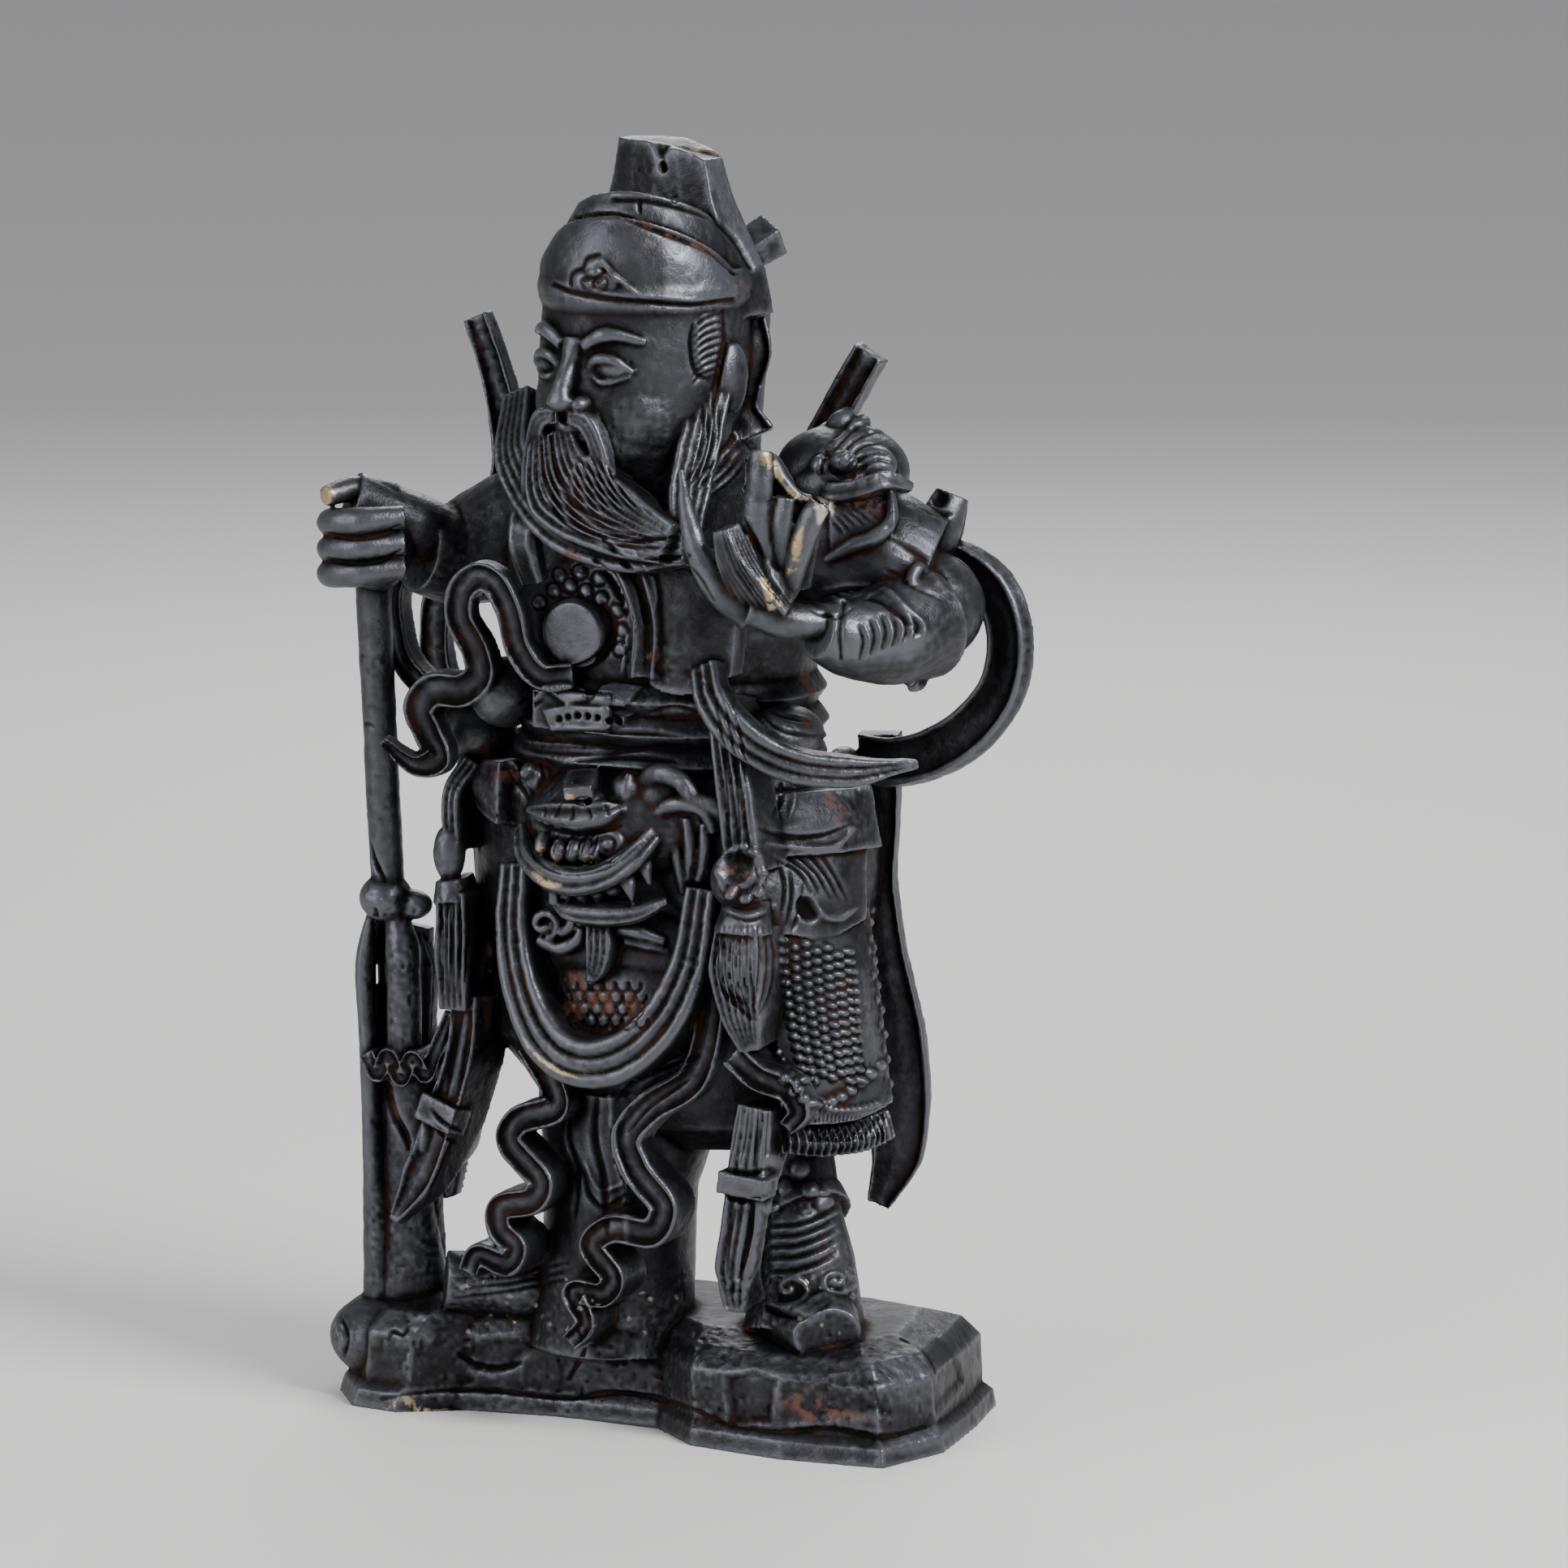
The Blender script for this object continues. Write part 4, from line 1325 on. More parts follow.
def draw_pendants(d):
    """Ropes, flower bosses, tassels and sashes"""
    turn = np.linspace(0, 2 * np.pi, 7)[:-1]
    ring_line(d, "relief", 0.5, 4, 913, 1074, 27, 1.15)
    d.spot("relief", -1.5, 20, 908, 1070)
    for a in turn:
        d.spot("relief", 0.5, 7, 914 + 26 * np.cos(a), 1076 + 30 * np.sin(a))
    for x, y in ((903, 1098), (918, 1106), (934, 1098)):
        d.spot("relief", 1, 8, x, y)
        ring_line(d, "relief", -0.3, 1.5, x, y, 8)
    d.line("relief", -0.7, 2.6, (893, 1112), (918, 1118), (948, 1110))
    d.line("relief", -0.5, 2, (896, 1126), (922, 1134), (950, 1124))
    d.line("relief", 0.5, 4, (892, 1120), (920, 1130), (955, 1116))
    d.comb("relief", -0.55, 2, [(892, 1142), (884, 1180), (890, 1220), (922, 1256)],
        [(948, 1142), (955, 1180), (950, 1220), (934, 1256)], 9)
    d.comb("relief", -0.4, 2, [(882, 862), (892, 930), (898, 1030)], [(902, 862), (916, 930), (926, 1030)], 3)
    d.comb("relief", -0.5, 2.2, [(912, 1362), (904, 1400), (896, 1436)],
        [(944, 1356), (946, 1400), (944, 1436)], 4)
    d.line("relief", -0.8, 2.4, (892, 1440), (920, 1446), (950, 1440))
    d.line("relief", -0.7, 2.4, (890, 1472), (915, 1480), (946, 1474))
    d.line("relief", -0.7, 3, (928, 1486), (922, 1530), (912, 1572))
    d.line("relief", -0.4, 2.4, (906, 1490), (898, 1530), (896, 1570))
    d.comb("relief", -0.4, 1.8, [(542, 1106), (545, 1150), (545, 1222)],
        [(576, 1106), (578, 1150), (572, 1222)], 4)
    d.comb("relief", -0.4, 1.8, [(560, 1240), (545, 1300), (533, 1360)],
        [(582, 1240), (572, 1300), (562, 1370)], 3)
    d.line("relief", -0.6, 2.2, (532, 1368), (545, 1382), (566, 1394))
    d.line("relief", -0.6, 2.2, (536, 1386), (548, 1400), (560, 1408))
    d.line("relief", -0.6, 2.4, (556, 1406), (540, 1450), (522, 1485))
    d.patch("worn", 0.4, (885, 1140), (955, 1140), (945, 1250), (905, 1250), soft=8)
    d.patch("worn", 0.5, (905, 1362), (945, 1360), (950, 1475), (892, 1470), soft=6)


def draw_boot(d):
    """Lumps and creases of the shaft, and the scrolls at the foot"""
    for y in (1500, 1513, 1526, 1540, 1556):
        d.line("relief", -0.5, 2.6, (948, y + 10), (980, y + 8), (1010, y - 2), (1030, y - 14))
        d.line("relief", 0.35, 2.6, (948, y + 16), (982, y + 14), (1012, y + 4), (1034, y - 8))
    for x, y, r in ((955, 1430, 12), (985, 1440, 13), (965, 1462, 12), (998, 1466, 11), (950, 1490, 11),
        (1014, 1480, 13)):
        d.spot("relief", 0.8, r, x, y)
    coil = np.linspace(0, 9, 22)
    for x, y, size, sense in ((973, 1588, 30, 1), (1030, 1578, 22, -1), (1054, 1564, 12, 1)):
        places = [(x + sense * size * k / 9 * np.cos(k), y + size * 0.8 * k / 9 * np.sin(k)) for k in coil]
        d.line("relief", 0.6, 3.4, *places, ends=(0.6, 0.6))
    d.line("relief", -0.7, 4, (930, 1596), (955, 1616), (990, 1622), (1020, 1606))
    d.line("relief", 0.5, 4, (920, 1584), (945, 1606), (985, 1612), (1012, 1596), (1040, 1604), (1060, 1590))
    d.patch("pitted", 1, (940, 1420), (1010, 1420), (1060, 1560), (1060, 1610), (930, 1600), soft=12)
    d.patch("worn", 0.5, (990, 1500), (1030, 1500), (1060, 1580), (1060, 1610), (1010, 1600), soft=8)


def draw_staff(d):
    """Finger creases, the broken sleeve of the staff and the frill"""
    for y in (661, 692):
        d.line("relief", -0.6, 2.6, (404, y - 4), (430, y + 2), (470, y - 2), (494, y - 14))
    d.patch("brassy", 1, (390, 600), (404, 598), (414, 606), (410, 622), (394, 622), soft=3)
    d.line("relief", -0.3, 2, (436, 895), (452, 892), (462, 897))
    d.line("relief", -0.9, 3, (452, 1030), (460, 1060), (474, 1084))
    d.patch("relief", -0.8, (462, 1120), (470, 1140), (474, 1230), (470, 1290), (462, 1240), soft=3)
    d.line("relief", -1, 4, (476, 1330), (484, 1370), (500, 1400), (508, 1425), ends=(0.6, 0.3))
    d.patch("earth", 0.8, (466, 1230), (472, 1230), (470, 1284), (464, 1270), soft=3)
    d.patch("earth", 0.7, (478, 1340), (490, 1350), (492, 1390), (482, 1370), soft=3)
    d.patch("pitted", 1, (440, 1080), (520, 1080), (530, 1320), (450, 1320), soft=10)
    d.patch("pitted", 1, (450, 1330), (520, 1330), (540, 1580), (450, 1580), soft=10)
    d.spot("worn", 0.8, 14, 456, 1104)


def draw_plinth(d):
    """Cracks, hollows and dust of the rock"""
    d.line("relief", -1, 2, (1110, 1650), (1130, 1658), (1148, 1674), (1156, 1694), (1158, 1708),
        ends=(0.4, 0.3))
    d.line("relief", 0.6, 5, (414, 1630), (424, 1650), (418, 1668))
    d.line("relief", -0.6, 2.2, (420, 1622), (428, 1648), (424, 1672))
    d.line("relief", -0.5, 2, (478, 1652), (484, 1640), (496, 1644), (504, 1632))
    d.line("relief", -0.9, 4, (568, 1672), (590, 1684), (620, 1686), (640, 1680))
    d.patch("relief", -0.5, (566, 1668), (600, 1652), (650, 1644), (655, 1660), (630, 1684), (590, 1682),
        soft=5)
    d.patch("relief", -0.5, (722, 1640), (760, 1636), (790, 1640), (770, 1680), (730, 1675), soft=5)
    d.line("relief", -0.5, 2.6, (700, 1700), (720, 1660), (712, 1640))
    d.patch("relief", -0.6, (895, 1696), (930, 1690), (955, 1700), (948, 1752), (900, 1752), soft=4)
    d.patch("relief", -0.5, (958, 1700), (1080, 1696), (1096, 1740), (960, 1752), soft=6)
    d.line("relief", -0.6, 3, (470, 1724), (520, 1716), (600, 1712), (700, 1722), (760, 1716), (830, 1728),
        (900, 1756))
    d.line("relief", -0.5, 3, (900, 1756), (960, 1764), (1020, 1760), (1090, 1770), (1140, 1758))
    d.line("brassy", 0.9, 5, (478, 1736), (500, 1726), (520, 1740), (560, 1738), ends=(0.5, 0.1))
    d.patch("worn", 0.8, (500, 1612), (528, 1622), (534, 1650), (528, 1658), (506, 1640), soft=3)
    d.patch("worn", 0.6, (1090, 1670), (1130, 1664), (1150, 1700), (1140, 1740), (1100, 1720), soft=8)
    d.patch("worn", 0.8, (1090, 1790), (1096, 1772), (1150, 1754), (1210, 1756), (1218, 1764), (1120, 1792),
        soft=3)
    d.patch("worn", 0.4, (420, 1600), (480, 1580), (500, 1640), (430, 1650), soft=8)
    d.patch("earth", 0.7, (960, 1712), (1000, 1716), (1060, 1748), (1080, 1750), (1000, 1756), (960, 1730),
        soft=8)
    d.patch("earth", 0.7, (1080, 1608), (1120, 1612), (1100, 1622), soft=4)
    d.patch("pitted", 1, (560, 1560), (900, 1560), (1100, 1640), (1180, 1760), (480, 1740), (460, 1640),
        soft=16)
    speck = np.random.default_rng(11)
    for x, y, r in zip(speck.uniform(560, 1060, 60), speck.uniform(1575, 1650, 60),
        speck.uniform(1.5, 4.5, 60)):
        d.spot("pale", 0.55, r, x, y)


FRONT_WORK = (
    draw_hat, draw_hair, draw_chest, draw_mask, draw_scarf, draw_robe, draw_arm, draw_strap_loop,
        draw_thigh_guard,
    draw_pendants, draw_boot, draw_staff, draw_plinth,
)


def draw_back(d):
    """Back, in millimetres across and up: nape, belt, folds of the robe and its hem"""
    d.line("relief", -0.6, 0.5, (-30, 117), (-10, 114), (12, 114), (32, 117), ends=(1, 1))
    d.line("relief", -0.6, 0.5, (-30, 126), (-10, 124), (12, 124), (32, 126), ends=(1, 1))
    d.line("relief", 0.5, 0.5, (-30, 121.5), (-10, 119), (12, 119), (32, 121.5), ends=(1, 1))
    d.comb("relief", -0.6, 0.8, [(-24, 112), (-28, 84), (-26, 54)], [(26, 112), (28, 84), (24, 54)], 8)
    d.comb("relief", 0.45, 1.1, [(-21, 112), (-25, 84), (-23, 54)], [(23, 112), (25, 84), (21, 54)], 7)
    d.line("relief", -0.5, 0.6, (-28, 60), (0, 57), (24, 60), ends=(1, 1))
    d.comb("relief", -0.5, 0.7, [(-24, 158), (-16, 146), (-4, 132)], [(20, 158), (14, 146), (4, 132)], 6)
    d.comb("relief", -0.35, 0.4, [(-13, 192), (-13, 180), (-12, 166)], [(9, 192), (9, 180), (8, 166)], 9)
    d.line("relief", -0.6, 0.5, (-22, 165), (-2, 161), (18, 165), ends=(1, 1))
    d.comb("relief", -0.3, 0.5, [(-50, 14), (-30, 10), (0, 13)], [(-50, 6), (-30, 4), (0, 6)], 2)
    d.patch("relief", -0.5, (10, 16), (24, 14), (34, 6), (14, 5), soft=0.8)
    d.patch("relief", -0.5, (-46, 15), (-30, 13), (-28, 5), (-44, 4), soft=0.8)


def draw_left(d):
    """Figure's left side, in millimetres from front to back and up: sleeve and thigh guard"""
    d.comb("relief", -0.5, 0.6, [(2, 160), (0, 154), (2, 147)], [(12, 158), (12, 152), (10, 146)], 3)
    for row in range(15):
        for k in range(5):
            x, z = -1 + 3.3 * k + (1.6 if row % 2 else 0), 58 + 2.1 * row
            d.spot("relief", 0.6, 1.05, x, z, flat=0.8)
    d.comb("relief", -0.5, 0.6, [(-4, 110), (-2, 106), (0, 101)], [(10, 110), (10, 105), (8, 100)], 4)
    d.patch("relief", -0.5, (-14, 16), (0, 17), (6, 8), (-14, 6), soft=0.8)


def draw_right(d):
    """Figure's right side, in millimetres from front to back and up: sleeve, hip and robe folds"""
    d.comb("relief", -0.6, 0.7, [(-10, 157), (-8, 150), (-8, 142)], [(8, 158), (10, 150), (8, 142)], 5)
    d.comb("relief", -0.5, 0.8, [(-10, 108), (-8, 84), (-6, 58)], [(14, 108), (14, 84), (12, 58)], 5)
    d.comb("relief", -0.4, 0.7, [(-16, 54), (-14, 40), (-12, 24)], [(0, 54), (0, 40), (0, 24)], 3)
    d.patch("relief", -0.5, (-14, 17), (6, 16), (10, 8), (-12, 6), soft=0.8)


def chased(points, normals):
    """Everything that the drawings say of each point: millimetres of relief and shares of wear,
    bare brass, pale bright metal, earth and pits."""
    total = {name: np.zeros(len(points)) for name in ("relief", *MARKS, "worn", "pitted")}
    picture = Drawing((380, 140), (1300, 1830), 1.0, POINTS_PER_MM)
    for draw in FRONT_WORK:
        draw(picture)
    x, y, z = points.T
    views = [(picture, *from_the_picture(points, normals))]
    for draw, across, depth, turned_to in (
        (draw_back, x, -y, normals[:, 1]), (draw_left, y, -x, normals[:, 0]), (draw_right, y, x,
            -normals[:, 0]),
    ):
        sheet = Drawing((-64, -2), (64, 222), 0.15, 1.0)
        draw(sheet)
        views.append((sheet, across, z, depth, turned_to))
    taken = np.zeros(len(points))
    for sheet, across, up, depth, turned_to in views:
        share = np.minimum(sheet.facing(across, up, depth, turned_to), 1 - taken)
        for name in sheet.layers:
            total[name] += share * sheet.taken(name, across, up)
        if sheet is picture:
            taken = share
    return total


# Heights in millimetres at which the one casting is parted, so that each piece stays light.
LEVELS = {"plinth": 0, "legs_and_tails": 21, "skirt_and_swag": 62.6, "belt_and_mask": 99,
          "chest_and_hand": 128.8, "shoulders_and_beard": 158, "head_and_cap": 177}
MARKS = ("hollow", "rubbed", "brassy", "earth", "pale")
# Triangles below which a shell of the skin is a bubble or a speck, less than 0.3 mm across.
SPECK = 100


def linear(code):
    """sRGB hex to linear numbers: the power 2.4 of the shifted share, or a 12.92th below the toe."""
    shares = [int(code[i:i + 2], 16) / 255 for i in (1, 3, 5)]
    return [s / 12.92 if s <= 0.04045 else ((s + 0.055) / 1.055) ** 2.4 for s in shares]


class WarriorSizes(bpy.types.PropertyGroup):
    """Sizes of the casting, in the figure's own frame, and the colours of its metal"""

    plinth_height: FloatProperty(
        name="Plinth height", description="Height of the rock", default=0.018, unit="LENGTH")
    plinth_wall: FloatProperty(
        name="Plinth wall", description="Thickness of the rock's wall", default=0.005, unit="LENGTH")
    grain: FloatProperty(name="Grain", description="Cell of the cast skin", default=0.0003, unit="LENGTH")
    triangles: IntProperty(name="Triangles", description="Triangles kept on the whole skin", default=900000)
    patina: FloatVectorProperty(
        name="Patina", description="Dark oxide skin", subtype="COLOR", default=linear("#232223"))
    sheen: FloatVectorProperty(
        name="Sheen", description="Grey of edges that hands polished", subtype="COLOR",
        default=linear("#63656b"))
    brass: FloatVectorProperty(
        name="Bare metal", description="Tips rubbed down to the metal", subtype="COLOR",
        default=linear("#ab9a7c"))


class WaxOperator:
    """Adds closed forms to the wax that the casting is made from"""

    bl_options = {"REGISTER", "UNDO"}

    def execute(self, context):
        melt(f"{WAX} {self.bl_label}", self.forms(context.scene.warrior))
        return {"FINISHED"}


class WARRIOR_OT_figure(WaxOperator, bpy.types.Operator):
    """Robe, legs, boots, head, beard and hat"""

    bl_idname = "warrior.figure"
    bl_label = "Figure"

    def forms(self, sizes):
        return body_forms() + head_forms() + beard_forms() + hat_forms() + strap_forms()


class WARRIOR_OT_arms(WaxOperator, bpy.types.Operator):
    """Both arms and the staff"""

    bl_idname = "warrior.arms"
    bl_label = "Arms and staff"

    def forms(self, sizes):
        return right_arm_forms() + staff_forms() + left_arm_forms()


class WARRIOR_OT_armour(WaxOperator, bpy.types.Operator):
    """Chest, mask, hip and thigh guard"""

    bl_idname = "warrior.armour"
    bl_label = "Armour"

    def forms(self, sizes):
        return chest_forms() + mask_forms() + hip_forms()


class WARRIOR_OT_cloth(WaxOperator, bpy.types.Operator):
    """Swag, tails, ribbons and pendants"""

    bl_idname = "warrior.cloth"
    bl_label = "Cloth and pendants"

    def forms(self, sizes):
        return swag_forms() + ribbon_forms() + pendant_forms()


class WARRIOR_OT_cast(bpy.types.Operator):
    """Casts plinth and wax as one skin, works its surface and parts it into pieces"""

    bl_idname = "warrior.cast"
    bl_label = "Cast"

    def execute(self, context):
        sizes = context.scene.warrior
        waxes = [o for o in bpy.data.objects if o.name.startswith(WAX)]
        outside, inside = rock(sizes.plinth_height / MM, sizes.plinth_wall / MM)
        lobe = blob([-50, -8, 9.5], [12.4, 15, 8.6])
        base = melt("cast", [outside, lobe])
        core = melt("core", [inside])
        with context.temp_override(active_object=base, selected_editable_objects=[base, *waxes],
                                   selected_objects=[base, *waxes]):
            bpy.ops.object.join()
        cell = sizes.grain / MM
        baked(base, "REMESH", mode="VOXEL", voxel_size=cell)
        mesh = baked(base, "BOOLEAN", operation="DIFFERENCE", solver="MANIFOLD", object=core)
        bpy.data.objects.remove(core)
        ends = edge_ends(mesh)
        count = np.bincount(np.concatenate(ends), minlength=len(mesh.vertices)).astype(float)
        points = eased(vertex_places(mesh), ends, count, 2)
        set_places(mesh, points)
        normals = vertex_normals(mesh)
        work = chased(points, normals)
        height = work["relief"] + worked_surface(points, work["pitted"])
        points = eased(points + normals * height[:, None], ends, count, 1)
        points[:, 2] = np.maximum(points[:, 2], 0)
        set_places(mesh, points)
        marks = finish_marks(mesh, points, ends, count, cell, work)
        for name, values in marks.items():
            mesh.attributes.new(name, "FLOAT", "POINT").data.foreach_set("value", values.astype(np.float32))
        corners = len(mesh.loops) - 2 * len(mesh.polygons)
        wanted = sizes.triangles
        mesh = baked(base, "DECIMATE", ratio=min(1.0, wanted / corners), use_collapse_triangulate=True)
        part_casting(mesh, bronze(sizes))
        bpy.data.objects.remove(base)
        return {"FINISHED"}


def worked_surface(points, pitted):
    """Millimetres that the skin stands off the form: slow waves of hand work, finer lumps and
    patches of small pits where the mould was rough."""
    slow = 0.22 * noise(points, 7.0, 1) + 0.12 * noise(points, 3.1, 2)
    rough = np.clip(0.25 + 0.7 * noise(points, 13.0, 3) + 0.4 * noise(points, 5.0, 4) + 0.8 * pitted, 0, 1.3)
    fine = 0.05 * noise(points, 1.3, 5) + 0.09 * rough * noise(points, 0.8, 6)
    pits = -0.35 * rough * np.clip(noise(points, 1.1, 7) - 0.45, 0, 1)
    return slow * 0.6 + fine + pits


def finish_marks(mesh, points, ends, count, cell, work):
    """Shares from 0 to 1 on every vertex: how deep it lies in a hollow and how far it stands out,
    from the skin less its own smoothed form at two scales, with the wear, bare brass, pale metal
    and earth that the drawings say."""
    normals = vertex_normals(mesh)
    form = points
    depth = np.zeros(len(points))
    done = 0
    for reach in (0.6, 1.6):
        spread = 2 * (reach / cell) ** 2
        form = softened(form, ends, count, spread - done)
        done = spread
        depth += ((form - points) * normals).sum(1) / reach
    hollow = np.clip(2.2 * depth, 0, 1)
    rubbed = np.clip(-2.2 * depth - 0.12, 0, 1) + np.clip(work["worn"], 0, 1) * (1 - hollow) * 0.8
    marks = {name: np.clip(work[name], 0, 1) for name in ("brassy", "earth", "pale")}
    return {"hollow": hollow, "rubbed": np.clip(rubbed, 0, 1), **marks}


def part_casting(mesh, metal):
    """Cuts the casting by level planes into closed pieces that keep the whole skin's normals."""
    faces = np.empty(3 * len(mesh.polygons), np.int32)
    mesh.loops.foreach_get("vertex_index", faces)
    faces = faces.reshape(-1, 3)
    columns = [vertex_places(mesh), vertex_normals(mesh)]
    for name in MARKS:
        values = np.empty(len(mesh.vertices), np.float32)
        mesh.attributes[name].data.foreach_get("value", values)
        columns.append(values[:, None])
    points = np.hstack(columns)
    faces = without_specks(faces, len(points))
    for level in list(LEVELS.values())[1:]:
        points, faces = sliced(points, faces, level)
    middle = points[faces, 2].mean(1)
    bounds = [*LEVELS.values(), 1e3]
    for name, low, high in zip(LEVELS, [-1e3, *bounds[1:-1]], bounds[1:]):
        mine = faces[(middle > low) & (middle <= high)]
        used, place = np.unique(mine, return_inverse=True)
        mine, own = place.reshape(-1, 3), points[used]
        mine = np.vstack([mine, capped(own, mine)])
        piece = triangle_mesh(name, (own[:, :3] - ORIGIN) * MM, mine)
        for column, mark in enumerate(MARKS):
            layer = piece.data.attributes.new(mark, "FLOAT", "POINT")
            layer.data.foreach_set("value", own[:, 6 + column].astype(np.float32))
        piece.data.shade_smooth()
        piece.data.normals_split_custom_set_from_vertices(unit(own[:, 3:6]))
        piece.data.materials.append(metal)
        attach(piece, "root")
        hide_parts(NODE)


def add(tree, kind, inputs=None, **settings):
    """Adds a node with its settings; inputs are values or the sockets that feed them."""
    node = tree.nodes.new(f"ShaderNode{kind}")
    for key, value in settings.items():
        setattr(node, key, value)
    for key, value in (inputs or {}).items():
        if isinstance(value, bpy.types.NodeSocket):
            tree.links.new(value, node.inputs[key])
        else:
            node.inputs[key].default_value = value
    return node


def blend(tree, share, a, b):
    """Colour a turning to b by a share."""
    mix = add(tree, "Mix", {0: share}, data_type="RGBA")
    for socket, colour in ((mix.inputs[6], a), (mix.inputs[7], b)):
        if isinstance(colour, bpy.types.NodeSocket):
            tree.links.new(colour, socket)
        else:
            socket.default_value = (*(linear(colour) if isinstance(colour, str) else colour), 1)
    return mix.outputs[2]


def level(tree, value, low, high, start=0.0, end=1.0):
    """A value brought from one range to another and held inside it."""
    given = {"Value": value, "From Min": low, "From Max": high, "To Min": start, "To Max": end}
    return add(tree, "MapRange", given, clamp=True).outputs[0]


# Sizes in millimetres of the patches of the patina, of its mottle and of the mould's grain. The
# real grain, near 0.1 mm, is too fine to show, so it is drawn about four times as coarse.
PATCH, MOTTLE, GRAIN = 11, 2.4, 0.4


# Cast bronze, patinated by age and handling: a dark oxide skin, satin where hands have polished
# it, nearly black in the hollows, blue-grey on rubbed edges, brassy where the metal is bare and
# dull red-brown where earth and lacquer stayed.
def bronze(sizes):
    material = bpy.data.materials.new("patinated_cast_bronze")
    material.use_nodes = True
    tree = material.node_tree
    shader = tree.nodes["Principled BSDF"]
    place = add(tree, "TexCoord").outputs["Object"]
    mark = {name: add(tree, "Attribute", attribute_name=name).outputs["Fac"] for name in MARKS}
    clouds = add(tree, "TexNoise",
        {"Vector": place, "Scale": 1 / (PATCH * MM), "Detail": 5.0, "Roughness": 0.6}).outputs["Fac"]
    mottle = add(tree, "TexNoise",
        {"Vector": place, "Scale": 1 / (MOTTLE * MM), "Detail": 4.0, "Roughness": 0.6}).outputs["Fac"]
    grain = add(tree, "TexNoise", {"Vector": place, "Scale": 1 / (GRAIN * MM), "Detail": 2.0}).outputs["Fac"]
    skin = blend(tree, level(tree, clouds, 0.35, 0.65), sizes.patina, "#35353a")
    skin = blend(tree, level(tree, mottle, 0.45, 0.75, 0, 0.5), skin, "#47484d")
    skin = blend(tree, level(tree, mark["hollow"], 0.05, 0.75), skin, "#0f0d0b")
    skin = blend(tree, level(tree, mark["rubbed"], 0.0, 0.8, 0, 0.85), skin, sizes.sheen)
    dust = add(tree, "Math", {0: mark["hollow"], 1: level(tree, clouds, 0.5, 0.62)},
        operation="MULTIPLY").outputs[0]
    skin = blend(tree, level(tree, dust, 0.1, 0.6, 0, 0.6), skin, "#3b2418")
    soil = add(tree, "Math", {0: mark["earth"], 1: level(tree, mottle, 0.46, 0.6)},
        operation="MULTIPLY").outputs[0]
    skin = blend(tree, level(tree, soil, 0.05, 0.6, 0, 0.85), skin, "#5a3020")
    bare = add(tree, "Math", {0: mark["brassy"], 1: level(tree, mottle, 0.38, 0.52)},
        operation="MULTIPLY").outputs[0]
    skin = blend(tree, level(tree, bare, 0.1, 0.6), skin, sizes.brass)
    skin = blend(tree, level(tree, mark["pale"], 0.1, 0.8), skin, "#b9b2a4")
    tree.links.new(skin, shader.inputs["Base Color"])
    tree.links.new(level(tree, soil, 0.0, 0.6, 0.88, 0.15), shader.inputs["Metallic"])
    dull = level(tree, mark["hollow"], 0, 0.8, 0, 0.3)
    gloss = add(tree, "Math", {0: level(tree, mottle, 0.3, 0.7, 0.36, 0.5), 1: dull},
        operation="ADD").outputs[0]
    tree.links.new(gloss, shader.inputs["Roughness"])
    uneven = add(tree, "Bump", {"Height": grain, "Strength": 0.35, "Distance": 0.00012}).outputs["Normal"]
    lumps = add(tree, "Bump", {"Height": mottle, "Strength": 0.5, "Distance": 0.0004, "Normal": uneven})
    tree.links.new(lumps.outputs["Normal"], shader.inputs["Normal"])
    return material


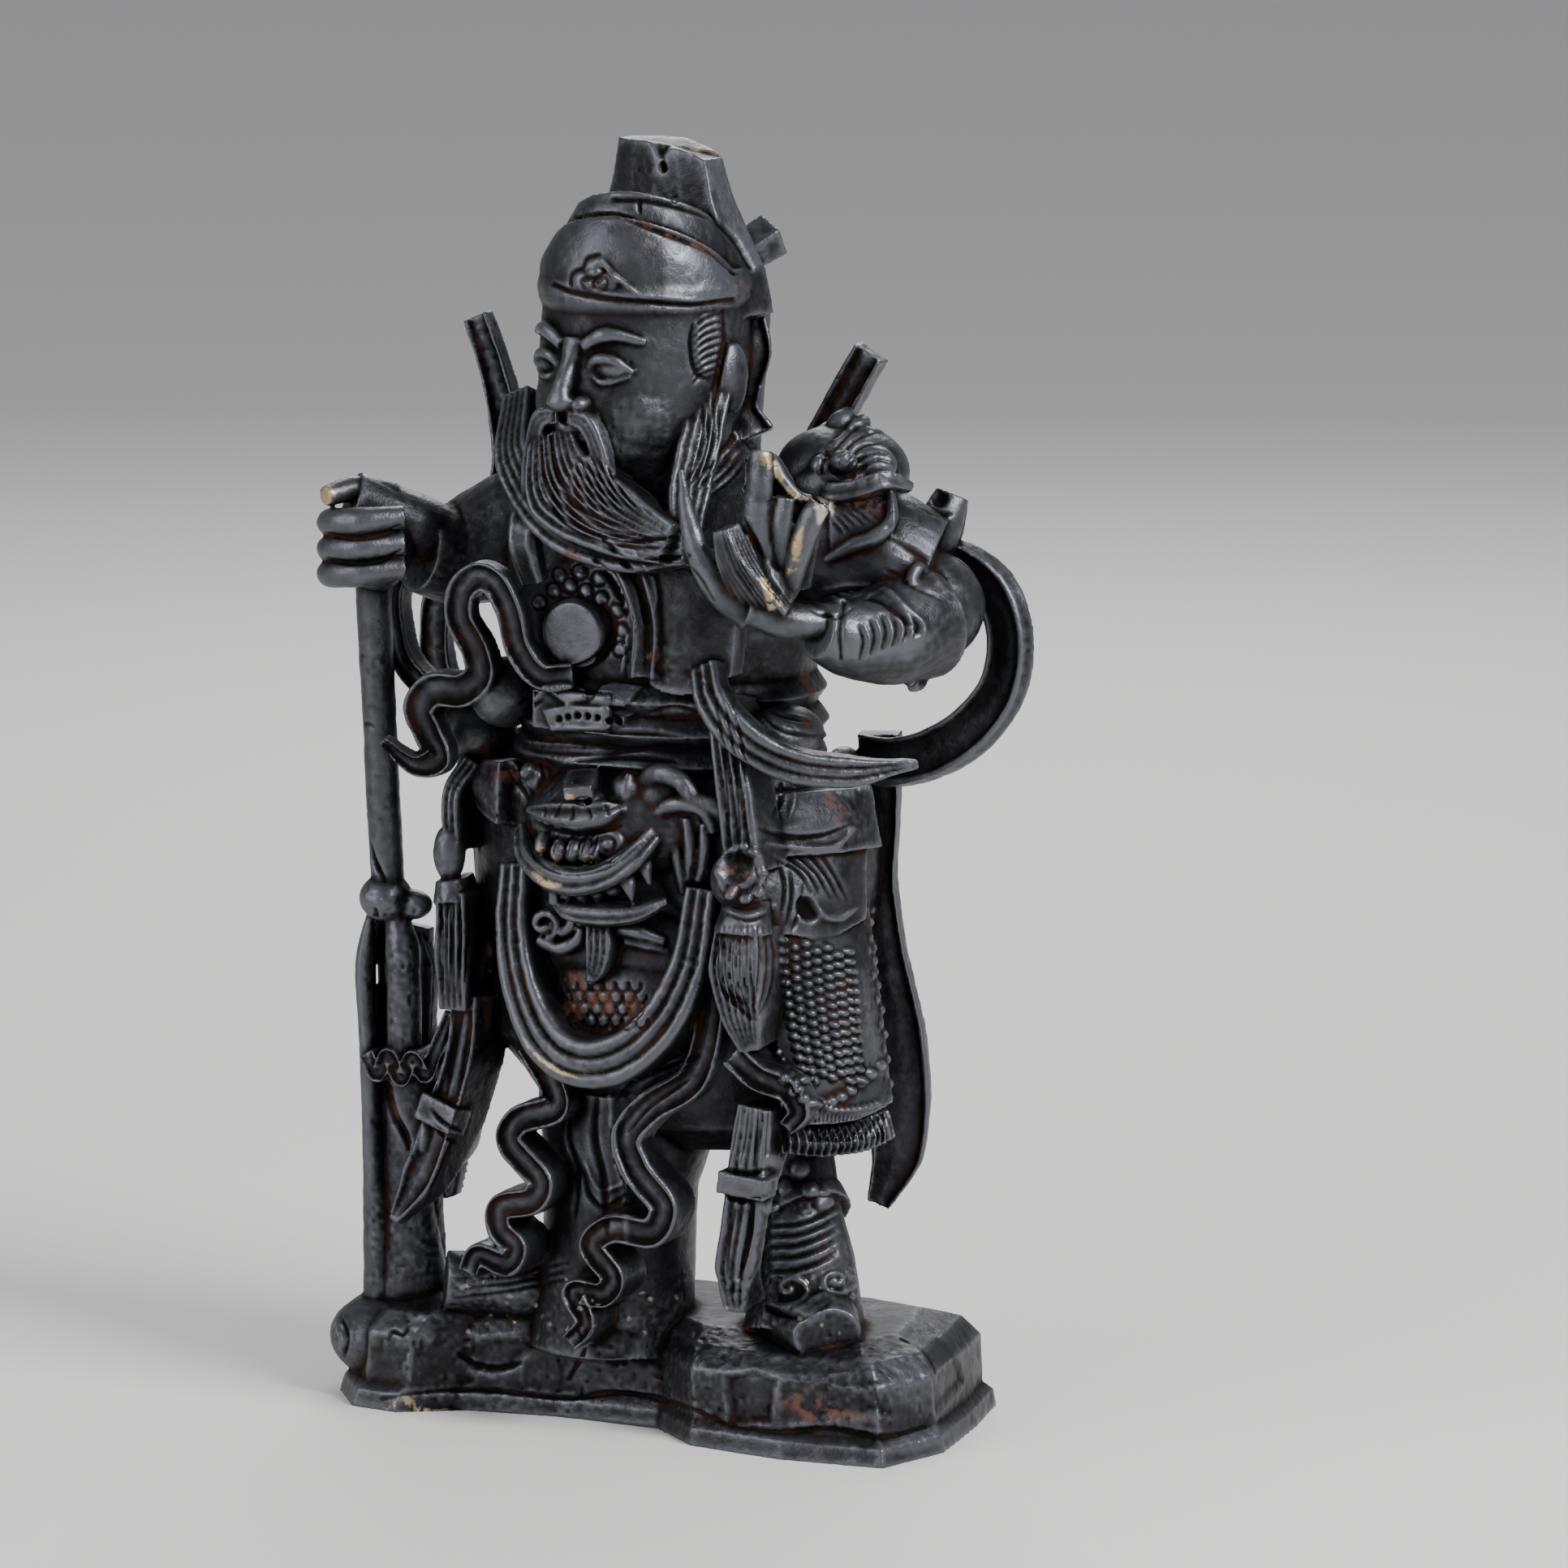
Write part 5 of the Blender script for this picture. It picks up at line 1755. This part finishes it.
class WARRIOR_OT_stage(bpy.types.Operator):
    """Pale floor, soft studio light and the camera at the photograph's angle"""

    bl_idname = "warrior.stage"
    bl_label = "Stage"

    def execute(self, context):
        lens = bpy.data.cameras.new("camera")
        lens.sensor_width = 36
        lens.lens = lens.sensor_width * FOCUS / PICTURE
        camera = bpy.data.objects.new("camera", lens)
        camera.location = (EYE - ORIGIN) * MM
        camera.rotation_mode = "QUATERNION"
        camera.rotation_quaternion = Vector(AHEAD).to_track_quat("-Z", "Y")
        context.collection.objects.link(camera)
        context.scene.camera = camera
        bpy.ops.mesh.primitive_plane_add(size=6)
        floor = context.object
        floor.name = "floor"
        paper = bpy.data.materials.new("pale_matte_paper")
        paper.use_nodes = True
        shader = paper.node_tree.nodes["Principled BSDF"]
        shader.inputs["Base Color"].default_value = (*linear("#e6e4e1"), 1)
        shader.inputs["Roughness"].default_value = 0.9
        floor.data.materials.append(paper)
        world = bpy.data.worlds.new("studio")
        context.scene.world = world
        world.use_nodes = True
        world.node_tree.nodes["Background"].inputs["Color"].default_value = (*linear("#c9cbd0"), 1)
        world.node_tree.nodes["Background"].inputs["Strength"].default_value = 0.6
        for name, at, size, power in (
            ("key", (0.85, -0.2, 0.75), 0.4, 15), ("fill", (-0.5, -0.75, 0.45), 0.7, 5),
            ("rim", (-0.3, 0.8, 0.7), 0.5, 5),
        ):
            lamp = bpy.data.lights.new(name, "AREA")
            lamp.energy = power
            lamp.size = size
            light = bpy.data.objects.new(name, lamp)
            light.location = at
            light.rotation_mode = "QUATERNION"
            light.rotation_quaternion = (Vector((0, 0, 0.11)) - Vector(at)).to_track_quat("-Z", "Y")
            context.collection.objects.link(light)
        return {"FINISHED"}


class WARRIOR_PT_panel(bpy.types.Panel):
    """Lists the steps of the casting"""

    bl_label = "Bronze warrior"
    bl_space_type = "VIEW_3D"
    bl_region_type = "UI"
    bl_category = "Warrior"

    def draw(self, context):
        for step in STEPS:
            self.layout.operator(step.bl_idname)


STEPS = (WARRIOR_OT_figure, WARRIOR_OT_arms, WARRIOR_OT_armour, WARRIOR_OT_cloth, WARRIOR_OT_cast,
    WARRIOR_OT_stage)
CLASSES = (WarriorSizes, *STEPS, WARRIOR_PT_panel)


def register():
    for each in CLASSES:
        bpy.utils.register_class(each)
    bpy.types.Scene.warrior = PointerProperty(type=WarriorSizes)


def unregister():
    del bpy.types.Scene.warrior
    for each in reversed(CLASSES):
        bpy.utils.unregister_class(each)


def main():
    register()
    for step in STEPS:
        group, name = step.bl_idname.split(".")
        getattr(getattr(bpy.ops, group), name)()


if __name__ == "__main__":
    main()
